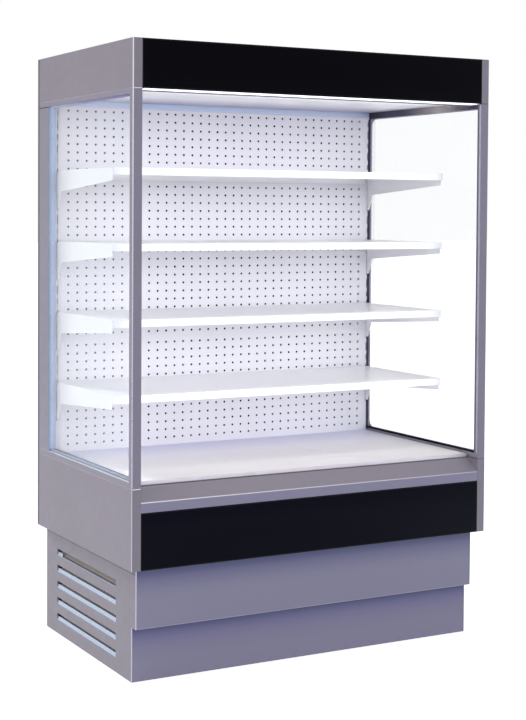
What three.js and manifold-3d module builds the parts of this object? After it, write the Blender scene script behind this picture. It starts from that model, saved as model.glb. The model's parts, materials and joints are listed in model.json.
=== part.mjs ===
// Open multideck display fridge, one plug-in case between glazed end walls.
// Units are millimetres. +X is the viewer's right, the open front faces -Y, +Z is up,
// and the origin lies on the floor under the middle of the case.
// Depths are counted back from the front face, heights up from the floor.

import * as THREE from 'three';
import { mergeVertices } from 'three/addons/utils/BufferGeometryUtils.js';
import Module from 'manifold-3d';

const wasm = await Module();
wasm.setup();

// ---------------------------------------------------------------- driving dimensions

// Whole case
const CASE_WIDTH = 1350;
const CASE_DEPTH = 790;
const CASE_HEIGHT = 2000;
const FIT_GAP = 0.3;
const SHEET = 1.5;
const MERGE_TOLERANCE = 1e-4;
const CURVE_SEGMENTS = 6;
const NUT_FACETS = 6;
const STUD_FACETS = 10;
const HOLE_FACETS = 12;
const FOOT_FACETS = 16;
const MOTOR_FACETS = 18;
const HUB_FACETS = 20;
const CAN_FACETS = 22;
const FAN_HOLE_FACETS = 28;
const TUBE_FACETS = 6;
const PIPE_FACETS = 8;
const BLADE_POINTS = 4;
const BLADE_STATIONS = 3;

// End walls: solid below, glazed in the middle, solid above
const END_THICKNESS = 31.5;
const END_CHAMFER = 3;
const END_BOTTOM = 368.3;
const SIDE_LOWER_HEIGHT = 253.7;
const CANOPY_HEIGHT = 152;
const GLAZING_BOTTOM = END_BOTTOM + SIDE_LOWER_HEIGHT;
const GLAZING_TOP = CASE_HEIGHT - CANOPY_HEIGHT;
const FRONT_POST_WIDTH = 22;
const REAR_POST_WIDTH = 121;
const GLAZING_RAIL_HEIGHT = 19;
const GLASS_THICKNESS = 24;
const GLASS_REBATE = 10;
const OUTER_X = CASE_WIDTH / 2;
const INNER_X = OUTER_X - END_THICKNESS;
const BAY_X = INNER_X - FIT_GAP;

// Base
const BASE_INSET = 32.8;
const BASE_REAR_INSET = 8;
const BASE_WIDTH = CASE_WIDTH - 2 * BASE_INSET;
const BASE_BACK = CASE_DEPTH - BASE_REAR_INSET;
const BASE_X = BASE_WIDTH / 2;
const BASE_INNER_X = BASE_X - SHEET;
const BASE_TOP_GAP = 2.3;
const BASE_TOP = END_BOTTOM - BASE_TOP_GAP;
const FLOOR_GAP = 3;
const LOWER_KICK_SETBACK = 67;
const UPPER_KICK_SETBACK = 36;
const KICK_STEP = 176;
const KICK_FLANGE = 20;
const LOUVRE_COUNT = 5;
const LOUVRE_START = 189;
const LOUVRE_REAR_MARGIN = 107;
const LOUVRE_END = CASE_DEPTH - LOUVRE_REAR_MARGIN;
const LOUVRE_BOTTOM = 50;
const LOUVRE_PITCH = 56.4;
const LOUVRE_HEIGHT = 24;
const LOUVRE_DEPTH = 18;
const LOUVRE_RISE = 10;
const REAR_SLOT_ROWS = 6;
const REAR_SLOT_COLUMNS = 2;
const REAR_SLOT_MARGIN = 111.1;
const REAR_SLOT_LENGTH = BASE_WIDTH / REAR_SLOT_COLUMNS - 2 * REAR_SLOT_MARGIN;
const REAR_SLOT_HEIGHT = 10;
const REAR_SLOT_PITCH = 34;

// Base frame and feet
const FRAME_SETBACK = 92;
const FRAME_BOTTOM = 26;
const FRAME_TOP = END_BOTTOM - FIT_GAP;
const RAIL_HEIGHT = 20;
const RAIL_WIDTH = 40;
const RAIL_WALL = 3;
const TOP_RAIL_HEIGHT = 30;
const FOOT_INSET = 24;
const FOOT_RADIUS = 21;
const FOOT_STEM_RADIUS = 6;
const FOOT_STEM_TOP = 44;
const FOOT_NUT_RADIUS = 10;
const FOOT_PAD_HEIGHT = 8;
const FOOT_PAD_EDGE = 1;
const FOOT_PAD_NECK = 3;
const FOOT_NUT_HEIGHT = 7;

// Condensing unit
const CONDENSER_INSET = 102.2;
const CONDENSER_X = CONDENSER_INSET - BASE_X;
const CONDENSER_DEPTH_CENTRE = (LOUVRE_START + LOUVRE_END) / 2;
const CONDENSER_LENGTH = 340;
const CONDENSER_HEIGHT = 240;
const CONDENSER_THICKNESS = 66;
const CONDENSER_FINS = 30;
const CONDENSER_TUBES = 4;
const CONDENSER_LIFT = 4;
const CONDENSER_FAN_RADIUS = 100;
const CONDENSER_SHROUD_DEPTH = 46;
const CONDENSER_SHROUD_MARGIN = 4;
const BEARER_WIDTH = 50;
const BEARER_SPACING = 115;
const BEARER_FORWARD = 11;
const COMPRESSOR_FROM_CONDENSER = 390;
const COMPRESSOR_BEHIND_CONDENSER = 34;
const COMPRESSOR_X = CONDENSER_X + COMPRESSOR_FROM_CONDENSER;
const COMPRESSOR_DEPTH = CONDENSER_DEPTH_CENTRE + COMPRESSOR_BEHIND_CONDENSER;
const COMPRESSOR_RADIUS = 78;
const COMPRESSOR_HEIGHT = 190;
const COMPRESSOR_LIFT = 12;
const COMPRESSOR_PLATE = 5;
const COMPRESSOR_PLATE_HALF_WIDTH = 97.5;
const COMPRESSOR_PLATE_LIFT = 8;
const GROMMET_RADIUS = 10;
const GROMMET_HEIGHT = 18;
const GROMMET_X = 85.8;
const GROMMET_Y = 64;
const TERMINAL_BOX_DEPTH = 42;
const TERMINAL_BOX_REACH = 30;
const TERMINAL_BOX_HALF_WIDTH = 26;
const TERMINAL_BOX_BOTTOM = 70;
const TERMINAL_BOX_TOP = 130;
const SUCTION_PIPE = { radius: 7, length: 44, inset: 14, y: 20, z: 120 };
const DISCHARGE_PIPE = { radius: 5, length: 36, inset: 8, y: -24, z: 80 };

// Back wall
const REAR_WALL_INSET = 3;
const REAR_WALL_THICKNESS = 47;
const REAR_WALL_BACK = CASE_DEPTH - REAR_WALL_INSET;
const REAR_WALL_FRONT = REAR_WALL_BACK - REAR_WALL_THICKNESS;
const REAR_DUCT_DEPTH = 53;
const BACK_PANEL_DEPTH = REAR_WALL_FRONT - REAR_DUCT_DEPTH;
const BACK_PANEL_SIDE_GAP = 9.2;
const BACK_PANEL_HALF_WIDTH = BAY_X - BACK_PANEL_SIDE_GAP;
const BACK_PANEL_FLANGE = 12;
const BACK_PANEL_UPPER_HEIGHT = 393;
const BACK_PANEL_MIDDLE_HEIGHT = 413;
const BACK_PANEL_SEAM_GAP = 1;
const DECK_LEDGE = 27;
const UPRIGHT_WIDTH = 38;
const UPRIGHT_WALL = 2;
const UPRIGHT_ABOVE_GLAZING = 4;
const UPRIGHT_TOP = GLAZING_TOP + UPRIGHT_ABOVE_GLAZING;
const SLOT_WIDTH = 4;
const LONG_SLOT = 31;
const SHORT_SLOT = 18.5;
const SLOTS_PER_SHELF = 3;

// Tub, evaporator and its fans
const TUB_SETBACK = 8;
const TUB_WALL = 38;
const TUB_FRONT_TOP = 575;
const TUB_FLOOR = 416;
const TUB_FALL = 10;
const DRAIN_DEPTH = 450;
const DRAIN_RADIUS = 18;
const EVAPORATOR_END_MARGIN = 83.2;
const EVAPORATOR_LENGTH = 2 * (BAY_X - EVAPORATOR_END_MARGIN);
const EVAPORATOR_START = 330;
const EVAPORATOR_DEPTH = 230;
const EVAPORATOR_HEIGHT = 150;
const EVAPORATOR_FINS = 48;
const EVAPORATOR_TUBES = 4;
const EVAPORATOR_FAN_RADIUS = 76;
const EVAPORATOR_FAN_INSET = 343.2;
const EVAPORATOR_FAN_OFFSET = BAY_X - EVAPORATOR_FAN_INSET;
const FAN_PLATE_DEPTH = 150;
const FAN_PLATE_TOP = 600;
const TUBE_RADIUS = 6;
const TUBE_STUB = 40;
const FIN_THICKNESS = 1.2;

// Fans
const FAN_BLADES = 5;
const FAN_TIP_GAP = 6;
const FAN_HUB_RADIUS = 24;
const FAN_HUB_DEPTH = 26;
const FAN_HUB_EDGE = 5;
const FAN_ROOT_SINK = 3;
const FAN_ANGLE_ROOT = 42;
const FAN_ANGLE_TIP = 24;
const FAN_CHORD_ROOT_RATIO = 1.5;
const FAN_CHORD_TIP_RATIO = 0.95;
const FAN_SWEEP_RATIO = 0.35;
const FAN_CAMBER_RATIO = 0.08;
const FAN_BLADE_THICKNESS = 1.6;
const FAN_COLLAR = 14;
const FAN_COLLAR_WALL = 2;
const FAN_MOTOR_RADIUS = 34;
const FAN_MOTOR_LENGTH = 40;
const FAN_MOTOR_EDGE = 6;
const FAN_SHAFT_RADIUS = 8;
const FAN_SHAFT_LENGTH = 10;
const FAN_ARM_WIDTH = 10;
const FAN_ARM_THICKNESS = 3;
const FAN_ARM_MARGIN = 12;
const FAN_ARMS = 3;

// Deck
const DECK_TOP = 634;
const DECK_FRONT = 54;
const DECK_REAR_GAP = 3;
const DECK_BACK = BACK_PANEL_DEPTH - DECK_REAR_GAP;
const DECK_LIP = 11;
const DECK_SIDE_GAP = 5.2;
const DECK_HALF_WIDTH = BAY_X - DECK_SIDE_GAP;
const DECK_PANELS = ['left', 'middle', 'right'];
const DECK_SEAM = 1;

// Front
const BUMPER_BOTTOM = 547;
const BUMPER_EDGE = 579;
const BUMPER_CREST = 622.7;
const BUMPER_CREST_START = 53;
const BUMPER_CREST_END = 75;
const BUMPER_WALL = 3;
const BUMPER_NOSE = 2;
const BUMPER_LEDGE = 15;
const LOWER_PANEL_THICKNESS = 6;
const FRONT_PANEL_EDGE = 1.5;
const GRILLE_SLOTS = 22;
const GRILLE_THICKNESS = 2;
const GRILLE_MARGIN = 12;

// Shelves
const SHELF_COUNT = 4;
const TOP_SHELF_CLEARANCE = 235;
const LOWEST_SHELF_CLEARANCE = 247.6;
const SHELF_TOP = GLAZING_TOP - TOP_SHELF_CLEARANCE;
const SHELF_PITCH = (SHELF_TOP - DECK_TOP - LOWEST_SHELF_CLEARANCE) / (SHELF_COUNT - 1);
const SHELF_DEPTH = 456;
const SHELF_REAR_GAP = 9;
const SHELF_BACK = BACK_PANEL_DEPTH - SHELF_REAR_GAP;
const SHELF_FRONT = SHELF_BACK - SHELF_DEPTH;
const SHELF_LIP = 20;
const SHELF_REAR_LIP = 12;
const BRACKET_INSET = 5;
const BRACKET_THICKNESS = 2.5;
const BRACKET_FRONT_DROP = 42;
const BRACKET_REAR_DROP = 73;
const BRACKET_TONGUE_DROP = 131;
const BRACKET_TONGUE_WIDTH = 12;
const BRACKET_REAR_CURVE = 22;
const BRACKET_REAR_CORNER = 26;
const BRACKET_FRONT_CORNER = 6;
const BRACKET_FLANGE = 14;
const HOOK_DROP = 22;
const HOOK_HEIGHT = 16;
const HOOK_REACH = 4;
const HOOK_TAIL = 8;
const HOOK_NECK = 7;
const HOOK_CORNER = 2;
const TAB_RISE = 12;
const TAB_HEIGHT = 10;
const TAB_REACH = 1;
const PRICE_RAIL_DEPTH = 9;
const PRICE_RAIL_FRONT = SHELF_FRONT - PRICE_RAIL_DEPTH;
const PRICE_RAIL_HEIGHT = 24;
const PRICE_RAIL_OVERHANG = 2;
const PRICE_RAIL_FOOT = 6;
const PRICE_RAIL_LIP = 4;

// Canopy
const ROOF_THICKNESS = 50;
const ROOF_NOSE = 26;
const FASCIA_THICKNESS = 5;
const FASCIA_RETURN = 7.5;
const FASCIA_LIP = 4;
const LAMP_START = 10;
const LAMP_WIDTH = 44;
const LAMP_ABOVE_GLAZING = 10;
const LAMP_TOP = GLAZING_TOP + LAMP_ABOVE_GLAZING;
const LAMP_HEIGHT = 12;
const LAMP_SHOULDER = 8;
const LAMP_BULGE = 0.75;
const OUTLET_START = 57;
const OUTLET_WIDTH = 58;
const OUTLET_HEIGHT = 14;
const OUTLET_CELLS = 30;
const OUTLET_ROWS = 2;
const OUTLET_WEB = 2;
const CEILING_ABOVE_GLAZING = 7;
const CEILING_HEIGHT = GLAZING_TOP + CEILING_ABOVE_GLAZING;
const CEILING_START = 117;
const CEILING_DROP = 23;
const CEILING_PANEL_GAP = 1;
const BACK_PANEL_TOP = CEILING_HEIGHT - CEILING_DROP - CEILING_PANEL_GAP;

const SIDES = [['left', -1], ['right', 1]];

const back = (depth) => depth - CASE_DEPTH / 2;

// ---------------------------------------------------------------- shape helpers

function toSolid(geometry) {
  const bare = geometry.clone();
  bare.deleteAttribute('normal');
  bare.deleteAttribute('uv');
  const merged = mergeVertices(bare, MERGE_TOLERANCE);
  const vertProperties = new Float32Array(merged.attributes.position.array);
  const triVerts = new Uint32Array(merged.index.array);
  return new wasm.Manifold(new wasm.Mesh({ numProp: 3, vertProperties, triVerts }));
}

function toGeometry(solid) {
  const { vertProperties, triVerts } = solid.getMesh();
  const geometry = new THREE.BufferGeometry();
  geometry.setAttribute('position', new THREE.BufferAttribute(vertProperties, 3));
  geometry.setIndex(new THREE.BufferAttribute(triVerts, 1));
  return geometry;
}

function join(...geometries) {
  return toGeometry(geometries.map(toSolid).reduce((whole, next) => whole.add(next)));
}

function cut(geometry, ...tools) {
  const tool = tools.map(toSolid).reduce((whole, next) => whole.add(next));
  return toGeometry(toSolid(geometry).subtract(tool));
}

function mirrorX(geometry) {
  const mirrored = geometry.clone();
  mirrored.scale(-1, 1, 1);
  const index = mirrored.index.array;
  for (let corner = 0; corner < index.length; corner += 3) {
    const kept = index[corner];
    index[corner] = index[corner + 1];
    index[corner + 1] = kept;
  }
  return mirrored;
}

function block(x0, x1, y0, y1, z0, z1) {
  const geometry = new THREE.BoxGeometry(x1 - x0, y1 - y0, z1 - z0);
  geometry.translate((x0 + x1) / 2, (y0 + y1) / 2, (z0 + z1) / 2);
  return geometry;
}

function outline(points) {
  return new THREE.Shape(points.map(([u, v]) => new THREE.Vector2(u, v)));
}

function extruded(shape, length) {
  const options = { depth: length, bevelEnabled: false, curveSegments: CURVE_SEGMENTS };
  return new THREE.ExtrudeGeometry(shape, options);
}

// Outline in (y, z), drawn out along X.
function prismX(shape, x0, x1) {
  const turn = new THREE.Matrix4().makeBasis(
    new THREE.Vector3(0, 1, 0),
    new THREE.Vector3(0, 0, 1),
    new THREE.Vector3(1, 0, 0),
  );
  return extruded(shape, x1 - x0).applyMatrix4(turn).translate(x0, 0, 0);
}

// Outline in (x, z), drawn out along Y.
function prismY(shape, y0, y1) {
  const turn = new THREE.Matrix4().makeBasis(
    new THREE.Vector3(1, 0, 0),
    new THREE.Vector3(0, 0, 1),
    new THREE.Vector3(0, -1, 0),
  );
  return extruded(shape, y1 - y0).applyMatrix4(turn).translate(0, y1, 0);
}

// Outline in (x, y), drawn up along Z.
function prismZ(shape, z0, z1) {
  return extruded(shape, z1 - z0).translate(0, 0, z0);
}

// Profile of [radius, height] points turned about Z.
function turned(profile, segments) {
  const points = profile.map(([radius, height]) => new THREE.Vector2(radius, height));
  return new THREE.LatheGeometry(points, segments).rotateX(Math.PI / 2);
}

function disc(radius, z0, z1, segments) {
  return turned([[0, z0], [radius, z0], [radius, z1], [0, z1]], segments);
}

// Rings of 3-D points joined into one closed skin with flat ends.
function loft(rings) {
  const size = rings[0].length;
  const corners = rings.flat().flatMap((point) => [point.x, point.y, point.z]);
  const index = [];
  for (let ring = 0; ring < rings.length - 1; ring += 1) {
    for (let step = 0; step < size; step += 1) {
      const a = ring * size + step;
      const b = ring * size + ((step + 1) % size);
      index.push(a, b, b + size, a, b + size, a + size);
    }
  }
  const last = (rings.length - 1) * size;
  for (let step = 1; step < size - 1; step += 1) {
    index.push(0, step + 1, step);
    index.push(last, last + step, last + step + 1);
  }
  const geometry = new THREE.BufferGeometry();
  geometry.setAttribute('position', new THREE.Float32BufferAttribute(corners, 3));
  geometry.setIndex(index);
  return geometry;
}

// Half a ring in the XZ plane that bulges towards +X.
class ReturnBend extends THREE.Curve {
  constructor(centre, radius) {
    super();
    this.centre = centre;
    this.radius = radius;
  }

  getPoint(t, target = new THREE.Vector3()) {
    const angle = (t - 0.5) * Math.PI;
    const x = this.radius * Math.cos(angle);
    const z = this.radius * Math.sin(angle);
    return target.copy(this.centre).add(new THREE.Vector3(x, 0, z));
  }
}

function tubeAlong(curve, radius, sides, steps) {
  const section = new THREE.Shape();
  section.absarc(0, 0, radius, 0, 2 * Math.PI);
  const ring = section.getPoints(sides).slice(0, sides);
  return new THREE.ExtrudeGeometry(new THREE.Shape(ring), { steps, extrudePath: curve });
}

// ---------------------------------------------------------------- base

function channelAlongX(y, inward, z0, z1, halfLength) {
  const lip = y + inward * RAIL_WIDTH;
  const web = y + inward * RAIL_WALL;
  const low = z0 + RAIL_WALL;
  const high = z1 - RAIL_WALL;
  const points = [[y, z0], [lip, z0], [lip, low], [web, low], [web, high], [lip, high], [lip, z1], [y, z1]];
  return prismX(outline(points), -halfLength, halfLength);
}

function channelAlongY(side, x, z0, z1, y0, y1) {
  const lip = x - side * RAIL_WIDTH;
  const web = x - side * RAIL_WALL;
  const low = z0 + RAIL_WALL;
  const high = z1 - RAIL_WALL;
  const points = [[x, z0], [lip, z0], [lip, low], [web, low], [web, high], [lip, high], [lip, z1], [x, z1]];
  return prismY(outline(points), y0, y1);
}

function cornerPost(x, side, y, inward) {
  const farX = x - side * RAIL_WIDTH;
  const farY = y + inward * RAIL_WIDTH;
  const nearX = x - side * RAIL_WALL;
  const nearY = y + inward * RAIL_WALL;
  const points = [[x, y], [farX, y], [farX, nearY], [nearX, nearY], [nearX, farY], [x, farY]];
  return prismZ(outline(points), FRAME_BOTTOM, FRAME_TOP);
}

const frameX = BASE_INNER_X - FIT_GAP;
const frameFront = back(FRAME_SETBACK);
const frameBack = back(BASE_BACK) - SHEET - FIT_GAP;
const bearerTop = FRAME_BOTTOM + RAIL_HEIGHT + RAIL_WALL;

function footPlaces() {
  const places = [];
  for (const [end, y] of [['front', frameFront + FOOT_INSET], ['rear', frameBack - FOOT_INSET]]) {
    for (const [name, side] of SIDES) {
      places.push([`foot_${end}_${name}`, side * (frameX - FOOT_INSET), y]);
    }
  }
  return places;
}

function bearerCentres() {
  const middle = back(CONDENSER_DEPTH_CENTRE - BEARER_FORWARD);
  return [-1, 0, 1].map((step) => middle + step * BEARER_SPACING);
}

function baseFrame() {
  const lowTop = FRAME_BOTTOM + RAIL_HEIGHT;
  const highBottom = FRAME_TOP - TOP_RAIL_HEIGHT;
  const pieces = [];
  for (const [z0, z1] of [[FRAME_BOTTOM, lowTop], [highBottom, FRAME_TOP]]) {
    pieces.push(channelAlongX(frameFront, 1, z0, z1, frameX));
    pieces.push(channelAlongX(frameBack, -1, z0, z1, frameX));
    for (const [, side] of SIDES) {
      pieces.push(channelAlongY(side, side * frameX, z0, z1, frameFront, frameBack));
    }
  }
  for (const [, side] of SIDES) {
    pieces.push(cornerPost(side * frameX, side, frameFront, 1));
    pieces.push(cornerPost(side * frameX, side, frameBack, -1));
  }
  for (const y of bearerCentres()) {
    const reach = frameX - RAIL_WIDTH / 2;
    const half = BEARER_WIDTH / 2;
    pieces.push(block(-reach, reach, y - half, y + half, lowTop - RAIL_WALL / 2, bearerTop));
  }
  const holeRadius = FOOT_STEM_RADIUS + 2 * FIT_GAP;
  const holes = footPlaces().map(([, x, y]) => (
    disc(holeRadius, FRAME_BOTTOM - 1, FRAME_BOTTOM + RAIL_HEIGHT + 1, HOLE_FACETS).translate(x, y, 0)
  ));
  return cut(join(...pieces), ...holes);
}

function foot() {
  const nutTop = FRAME_BOTTOM - FIT_GAP;
  const nutBottom = nutTop - FOOT_NUT_HEIGHT;
  const pad = turned([
    [0, 0],
    [FOOT_RADIUS - FOOT_PAD_EDGE, 0],
    [FOOT_RADIUS, FOOT_PAD_EDGE],
    [FOOT_RADIUS, FOOT_PAD_HEIGHT / 2],
    [FOOT_STEM_RADIUS + FOOT_PAD_NECK, FOOT_PAD_HEIGHT],
    [0, FOOT_PAD_HEIGHT],
  ], FOOT_FACETS);
  const stem = disc(FOOT_STEM_RADIUS, FOOT_PAD_HEIGHT / 2, FOOT_STEM_TOP, STUD_FACETS);
  const nut = disc(FOOT_NUT_RADIUS, nutBottom, nutTop, NUT_FACETS);
  return join(pad, stem, nut);
}

function louvreBlade(bottom) {
  const outer = BASE_X;
  const root = bottom - SHEET;
  const tip = outer - LOUVRE_DEPTH;
  const points = [
    [outer, root],
    [outer, bottom],
    [outer - SHEET, bottom + SHEET / 2],
    [tip, bottom + LOUVRE_RISE],
    [tip, bottom + LOUVRE_RISE - SHEET],
    [outer - SHEET, root],
  ];
  return prismY(outline(points), back(LOUVRE_START), back(LOUVRE_END));
}

function baseSideRight() {
  const points = [
    [back(LOWER_KICK_SETBACK), FLOOR_GAP],
    [back(BASE_BACK), FLOOR_GAP],
    [back(BASE_BACK), BASE_TOP],
    [back(UPPER_KICK_SETBACK), BASE_TOP],
    [back(UPPER_KICK_SETBACK), KICK_STEP],
    [back(LOWER_KICK_SETBACK), KICK_STEP],
  ];
  const bottoms = Array.from({ length: LOUVRE_COUNT }, (_, row) => LOUVRE_BOTTOM + row * LOUVRE_PITCH);
  const slots = bottoms.map((bottom) => block(
    BASE_INNER_X - 1, BASE_X + 1, back(LOUVRE_START), back(LOUVRE_END), bottom, bottom + LOUVRE_HEIGHT,
  ));
  const sheet = cut(prismX(outline(points), BASE_INNER_X, BASE_X), ...slots);
  return join(sheet, ...bottoms.map(louvreBlade));
}

// Folded sheet, open to the back, that closes the base between its two sides.
function kickPanel(setback, bottom, top) {
  const y = back(setback);
  const web = y + SHEET;
  const flange = y + KICK_FLANGE;
  const points = [
    [y, bottom], [flange, bottom], [flange, bottom + SHEET], [web, bottom + SHEET],
    [web, top - SHEET], [flange, top - SHEET], [flange, top], [y, top],
  ];
  return prismX(outline(points), -BASE_INNER_X + FIT_GAP, BASE_INNER_X - FIT_GAP);
}

function upperKickPanel() {
  const shelf = block(
    -BASE_INNER_X + FIT_GAP, BASE_INNER_X - FIT_GAP,
    back(UPPER_KICK_SETBACK), back(LOWER_KICK_SETBACK) + KICK_FLANGE,
    KICK_STEP + FIT_GAP, KICK_STEP + FIT_GAP + SHEET,
  );
  return join(kickPanel(UPPER_KICK_SETBACK, KICK_STEP + FIT_GAP, BASE_TOP), shelf);
}

function baseRearCover() {
  const sheetFront = back(BASE_BACK) - SHEET;
  const sheet = block(
    -BASE_INNER_X + FIT_GAP, BASE_INNER_X - FIT_GAP, sheetFront, back(BASE_BACK), FLOOR_GAP, BASE_TOP,
  );
  const slots = [];
  const middle = (FLOOR_GAP + BASE_TOP) / 2;
  for (let row = 0; row < REAR_SLOT_ROWS; row += 1) {
    for (let column = 0; column < REAR_SLOT_COLUMNS; column += 1) {
      const z = middle + (row - (REAR_SLOT_ROWS - 1) / 2) * REAR_SLOT_PITCH;
      const x = (column - (REAR_SLOT_COLUMNS - 1) / 2) * BASE_X;
      slots.push(block(
        x - REAR_SLOT_LENGTH / 2, x + REAR_SLOT_LENGTH / 2, sheetFront - 1, back(BASE_BACK) + 1,
        z - REAR_SLOT_HEIGHT / 2, z + REAR_SLOT_HEIGHT / 2,
      ));
    }
  }
  return cut(sheet, ...slots);
}

// ---------------------------------------------------------------- fans and coils

function bladeSection(radius, share) {
  const pitch = THREE.MathUtils.degToRad(THREE.MathUtils.lerp(FAN_ANGLE_ROOT, FAN_ANGLE_TIP, share));
  const chord = radius * THREE.MathUtils.lerp(FAN_CHORD_ROOT_RATIO, FAN_CHORD_TIP_RATIO, share);
  const sweep = FAN_SWEEP_RATIO * share;
  const upper = [];
  const lower = [];
  for (let step = 0; step < BLADE_POINTS; step += 1) {
    const along = step / (BLADE_POINTS - 1) - 0.5;
    const camber = FAN_CAMBER_RATIO * chord * (1 - 4 * along * along);
    for (const [list, offset] of [[upper, FAN_BLADE_THICKNESS / 2], [lower, -FAN_BLADE_THICKNESS / 2]]) {
      const across = along * chord * Math.cos(pitch) - (camber + offset) * Math.sin(pitch);
      const height = along * chord * Math.sin(pitch) + (camber + offset) * Math.cos(pitch);
      const angle = across / radius + sweep;
      list.push(new THREE.Vector3(radius * Math.cos(angle), radius * Math.sin(angle), height));
    }
  }
  return [...upper.reverse(), ...lower];
}

// Rotor about Z with its hub centred on the origin.
function fanRotor(tipRadius, hubRadius, hubDepth) {
  const inner = hubRadius - FAN_ROOT_SINK;
  const rings = Array.from({ length: BLADE_STATIONS }, (_, step) => {
    const share = step / (BLADE_STATIONS - 1);
    return bladeSection(THREE.MathUtils.lerp(inner, tipRadius, share), share);
  });
  const half = hubDepth / 2;
  const hub = turned([
    [0, -half], [hubRadius, -half], [hubRadius, half - FAN_HUB_EDGE],
    [hubRadius - FAN_HUB_EDGE, half], [0, half],
  ], HUB_FACETS);
  const blades = Array.from({ length: FAN_BLADES }, (_, step) => (
    loft(rings).rotateZ(step * 2 * Math.PI / FAN_BLADES)
  ));
  return join(hub, ...blades);
}

// Collar, motor and arms behind a round opening, all about Z with the plate's front at z = 0.
function fanCarrier(holeRadius) {
  const shaftStart = FAN_HUB_DEPTH;
  const motorStart = shaftStart + FAN_SHAFT_LENGTH;
  const motorEnd = motorStart + FAN_MOTOR_LENGTH;
  const armStart = motorEnd - FAN_ARM_WIDTH;
  const rim = holeRadius + FAN_COLLAR_WALL;
  const collar = turned([
    [holeRadius, 0], [rim, 0], [rim, FAN_COLLAR], [holeRadius, FAN_COLLAR], [holeRadius, 0],
  ], FAN_HOLE_FACETS);
  const motor = turned([
    [0, shaftStart], [FAN_SHAFT_RADIUS, shaftStart], [FAN_SHAFT_RADIUS, motorStart],
    [FAN_MOTOR_RADIUS, motorStart], [FAN_MOTOR_RADIUS, motorEnd - FAN_MOTOR_EDGE],
    [FAN_MOTOR_RADIUS - FAN_MOTOR_EDGE, motorEnd], [0, motorEnd],
  ], MOTOR_FACETS);
  const reach = holeRadius + FAN_ARM_MARGIN;
  const armTop = armStart + FAN_ARM_THICKNESS;
  const arms = Array.from({ length: FAN_ARMS }, (_, step) => {
    const half = FAN_ARM_WIDTH / 2;
    const spoke = block(FAN_MOTOR_RADIUS / 2, reach, -half, half, armStart, armTop);
    const leg = block(reach - FAN_ARM_THICKNESS, reach, -half, half, 0, armTop);
    return join(spoke, leg).rotateZ(Math.PI / 2 + step * 2 * Math.PI / FAN_ARMS);
  });
  return join(collar, motor, ...arms);
}

// Comb of upright fins on one base strip. Centred in X and Y, standing on z = 0.
function finPack(length, depth, height, fins) {
  const pitch = (length - FIN_THICKNESS) / (fins - 1);
  const points = [[length / 2, 0]];
  for (let step = fins - 1; step >= 0; step -= 1) {
    const x0 = -length / 2 + step * pitch;
    const x1 = x0 + FIN_THICKNESS;
    if (step < fins - 1) points.push([x1, FIN_THICKNESS]);
    points.push([x1, height], [x0, height]);
    if (step > 0) points.push([x0, FIN_THICKNESS]);
  }
  points.push([-length / 2, 0]);
  return prismY(outline(points), -depth / 2, depth / 2);
}

// Fin pack with the return bends of its tubes at both ends and two pipe stubs.
function finnedCoil(length, depth, height, fins, tubes) {
  const half = (length - FIN_THICKNESS) / 2;
  const rowPitch = height / tubes;
  const rowHeight = (row) => (row + 0.5) * rowPitch;
  const bends = [];
  for (let row = 0; row < tubes - 1; row += 1) {
    const side = row % 2 ? -1 : 1;
    const centre = new THREE.Vector3(half, 0, (rowHeight(row) + rowHeight(row + 1)) / 2);
    const bend = tubeAlong(new ReturnBend(centre, rowPitch / 2), TUBE_RADIUS, TUBE_FACETS, TUBE_FACETS);
    bends.push(side > 0 ? bend : bend.rotateZ(Math.PI));
  }
  const stubs = [rowHeight(0), rowHeight(tubes - 1)].map((z) => (
    disc(TUBE_RADIUS, half, half + TUBE_STUB, TUBE_FACETS).rotateY(-Math.PI / 2).translate(0, 0, z)
  ));
  return join(finPack(length, depth, height, fins), ...bends, ...stubs);
}

// ---------------------------------------------------------------- condensing unit

// Share of the radius and of the height at each turn of the can's profile, from the foot up.
const CAN_PROFILE = [[1, 0.21], [1, 0.66], [0.95, 0.78], [0.78, 0.91], [0.45, 0.985], [0, 1]];
const CAN_FOOT = [[0, 0], [0.8, 0], [0.97, 0.063]];

function pipeStub({ radius, length, inset, y, z }) {
  return disc(radius, 0, length, PIPE_FACETS)
    .rotateY(Math.PI / 2)
    .translate(COMPRESSOR_RADIUS - inset, y, z);
}

function compressor() {
  const r = COMPRESSOR_RADIUS;
  const foot = CAN_FOOT.map(([a, b]) => [a * r, COMPRESSOR_LIFT + b * COMPRESSOR_HEIGHT]);
  const body = CAN_PROFILE.map(([a, b]) => [a * r, b * COMPRESSOR_HEIGHT]);
  const can = turned([...foot, ...body], CAN_FACETS);
  const plate = block(
    -COMPRESSOR_PLATE_HALF_WIDTH, COMPRESSOR_PLATE_HALF_WIDTH, -r, r,
    COMPRESSOR_PLATE_LIFT, COMPRESSOR_PLATE_LIFT + COMPRESSOR_PLATE,
  );
  const grommets = [];
  for (const x of [-GROMMET_X, GROMMET_X]) {
    for (const y of [-GROMMET_Y, GROMMET_Y]) {
      grommets.push(disc(GROMMET_RADIUS, 0, GROMMET_HEIGHT, STUD_FACETS).translate(x, y, 0));
    }
  }
  const boxStart = -r - TERMINAL_BOX_REACH;
  const terminals = block(
    boxStart, boxStart + TERMINAL_BOX_DEPTH, -TERMINAL_BOX_HALF_WIDTH, TERMINAL_BOX_HALF_WIDTH,
    TERMINAL_BOX_BOTTOM, TERMINAL_BOX_TOP,
  );
  return join(can, plate, ...grommets, terminals, pipeStub(SUCTION_PIPE), pipeStub(DISCHARGE_PIPE));
}

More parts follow.
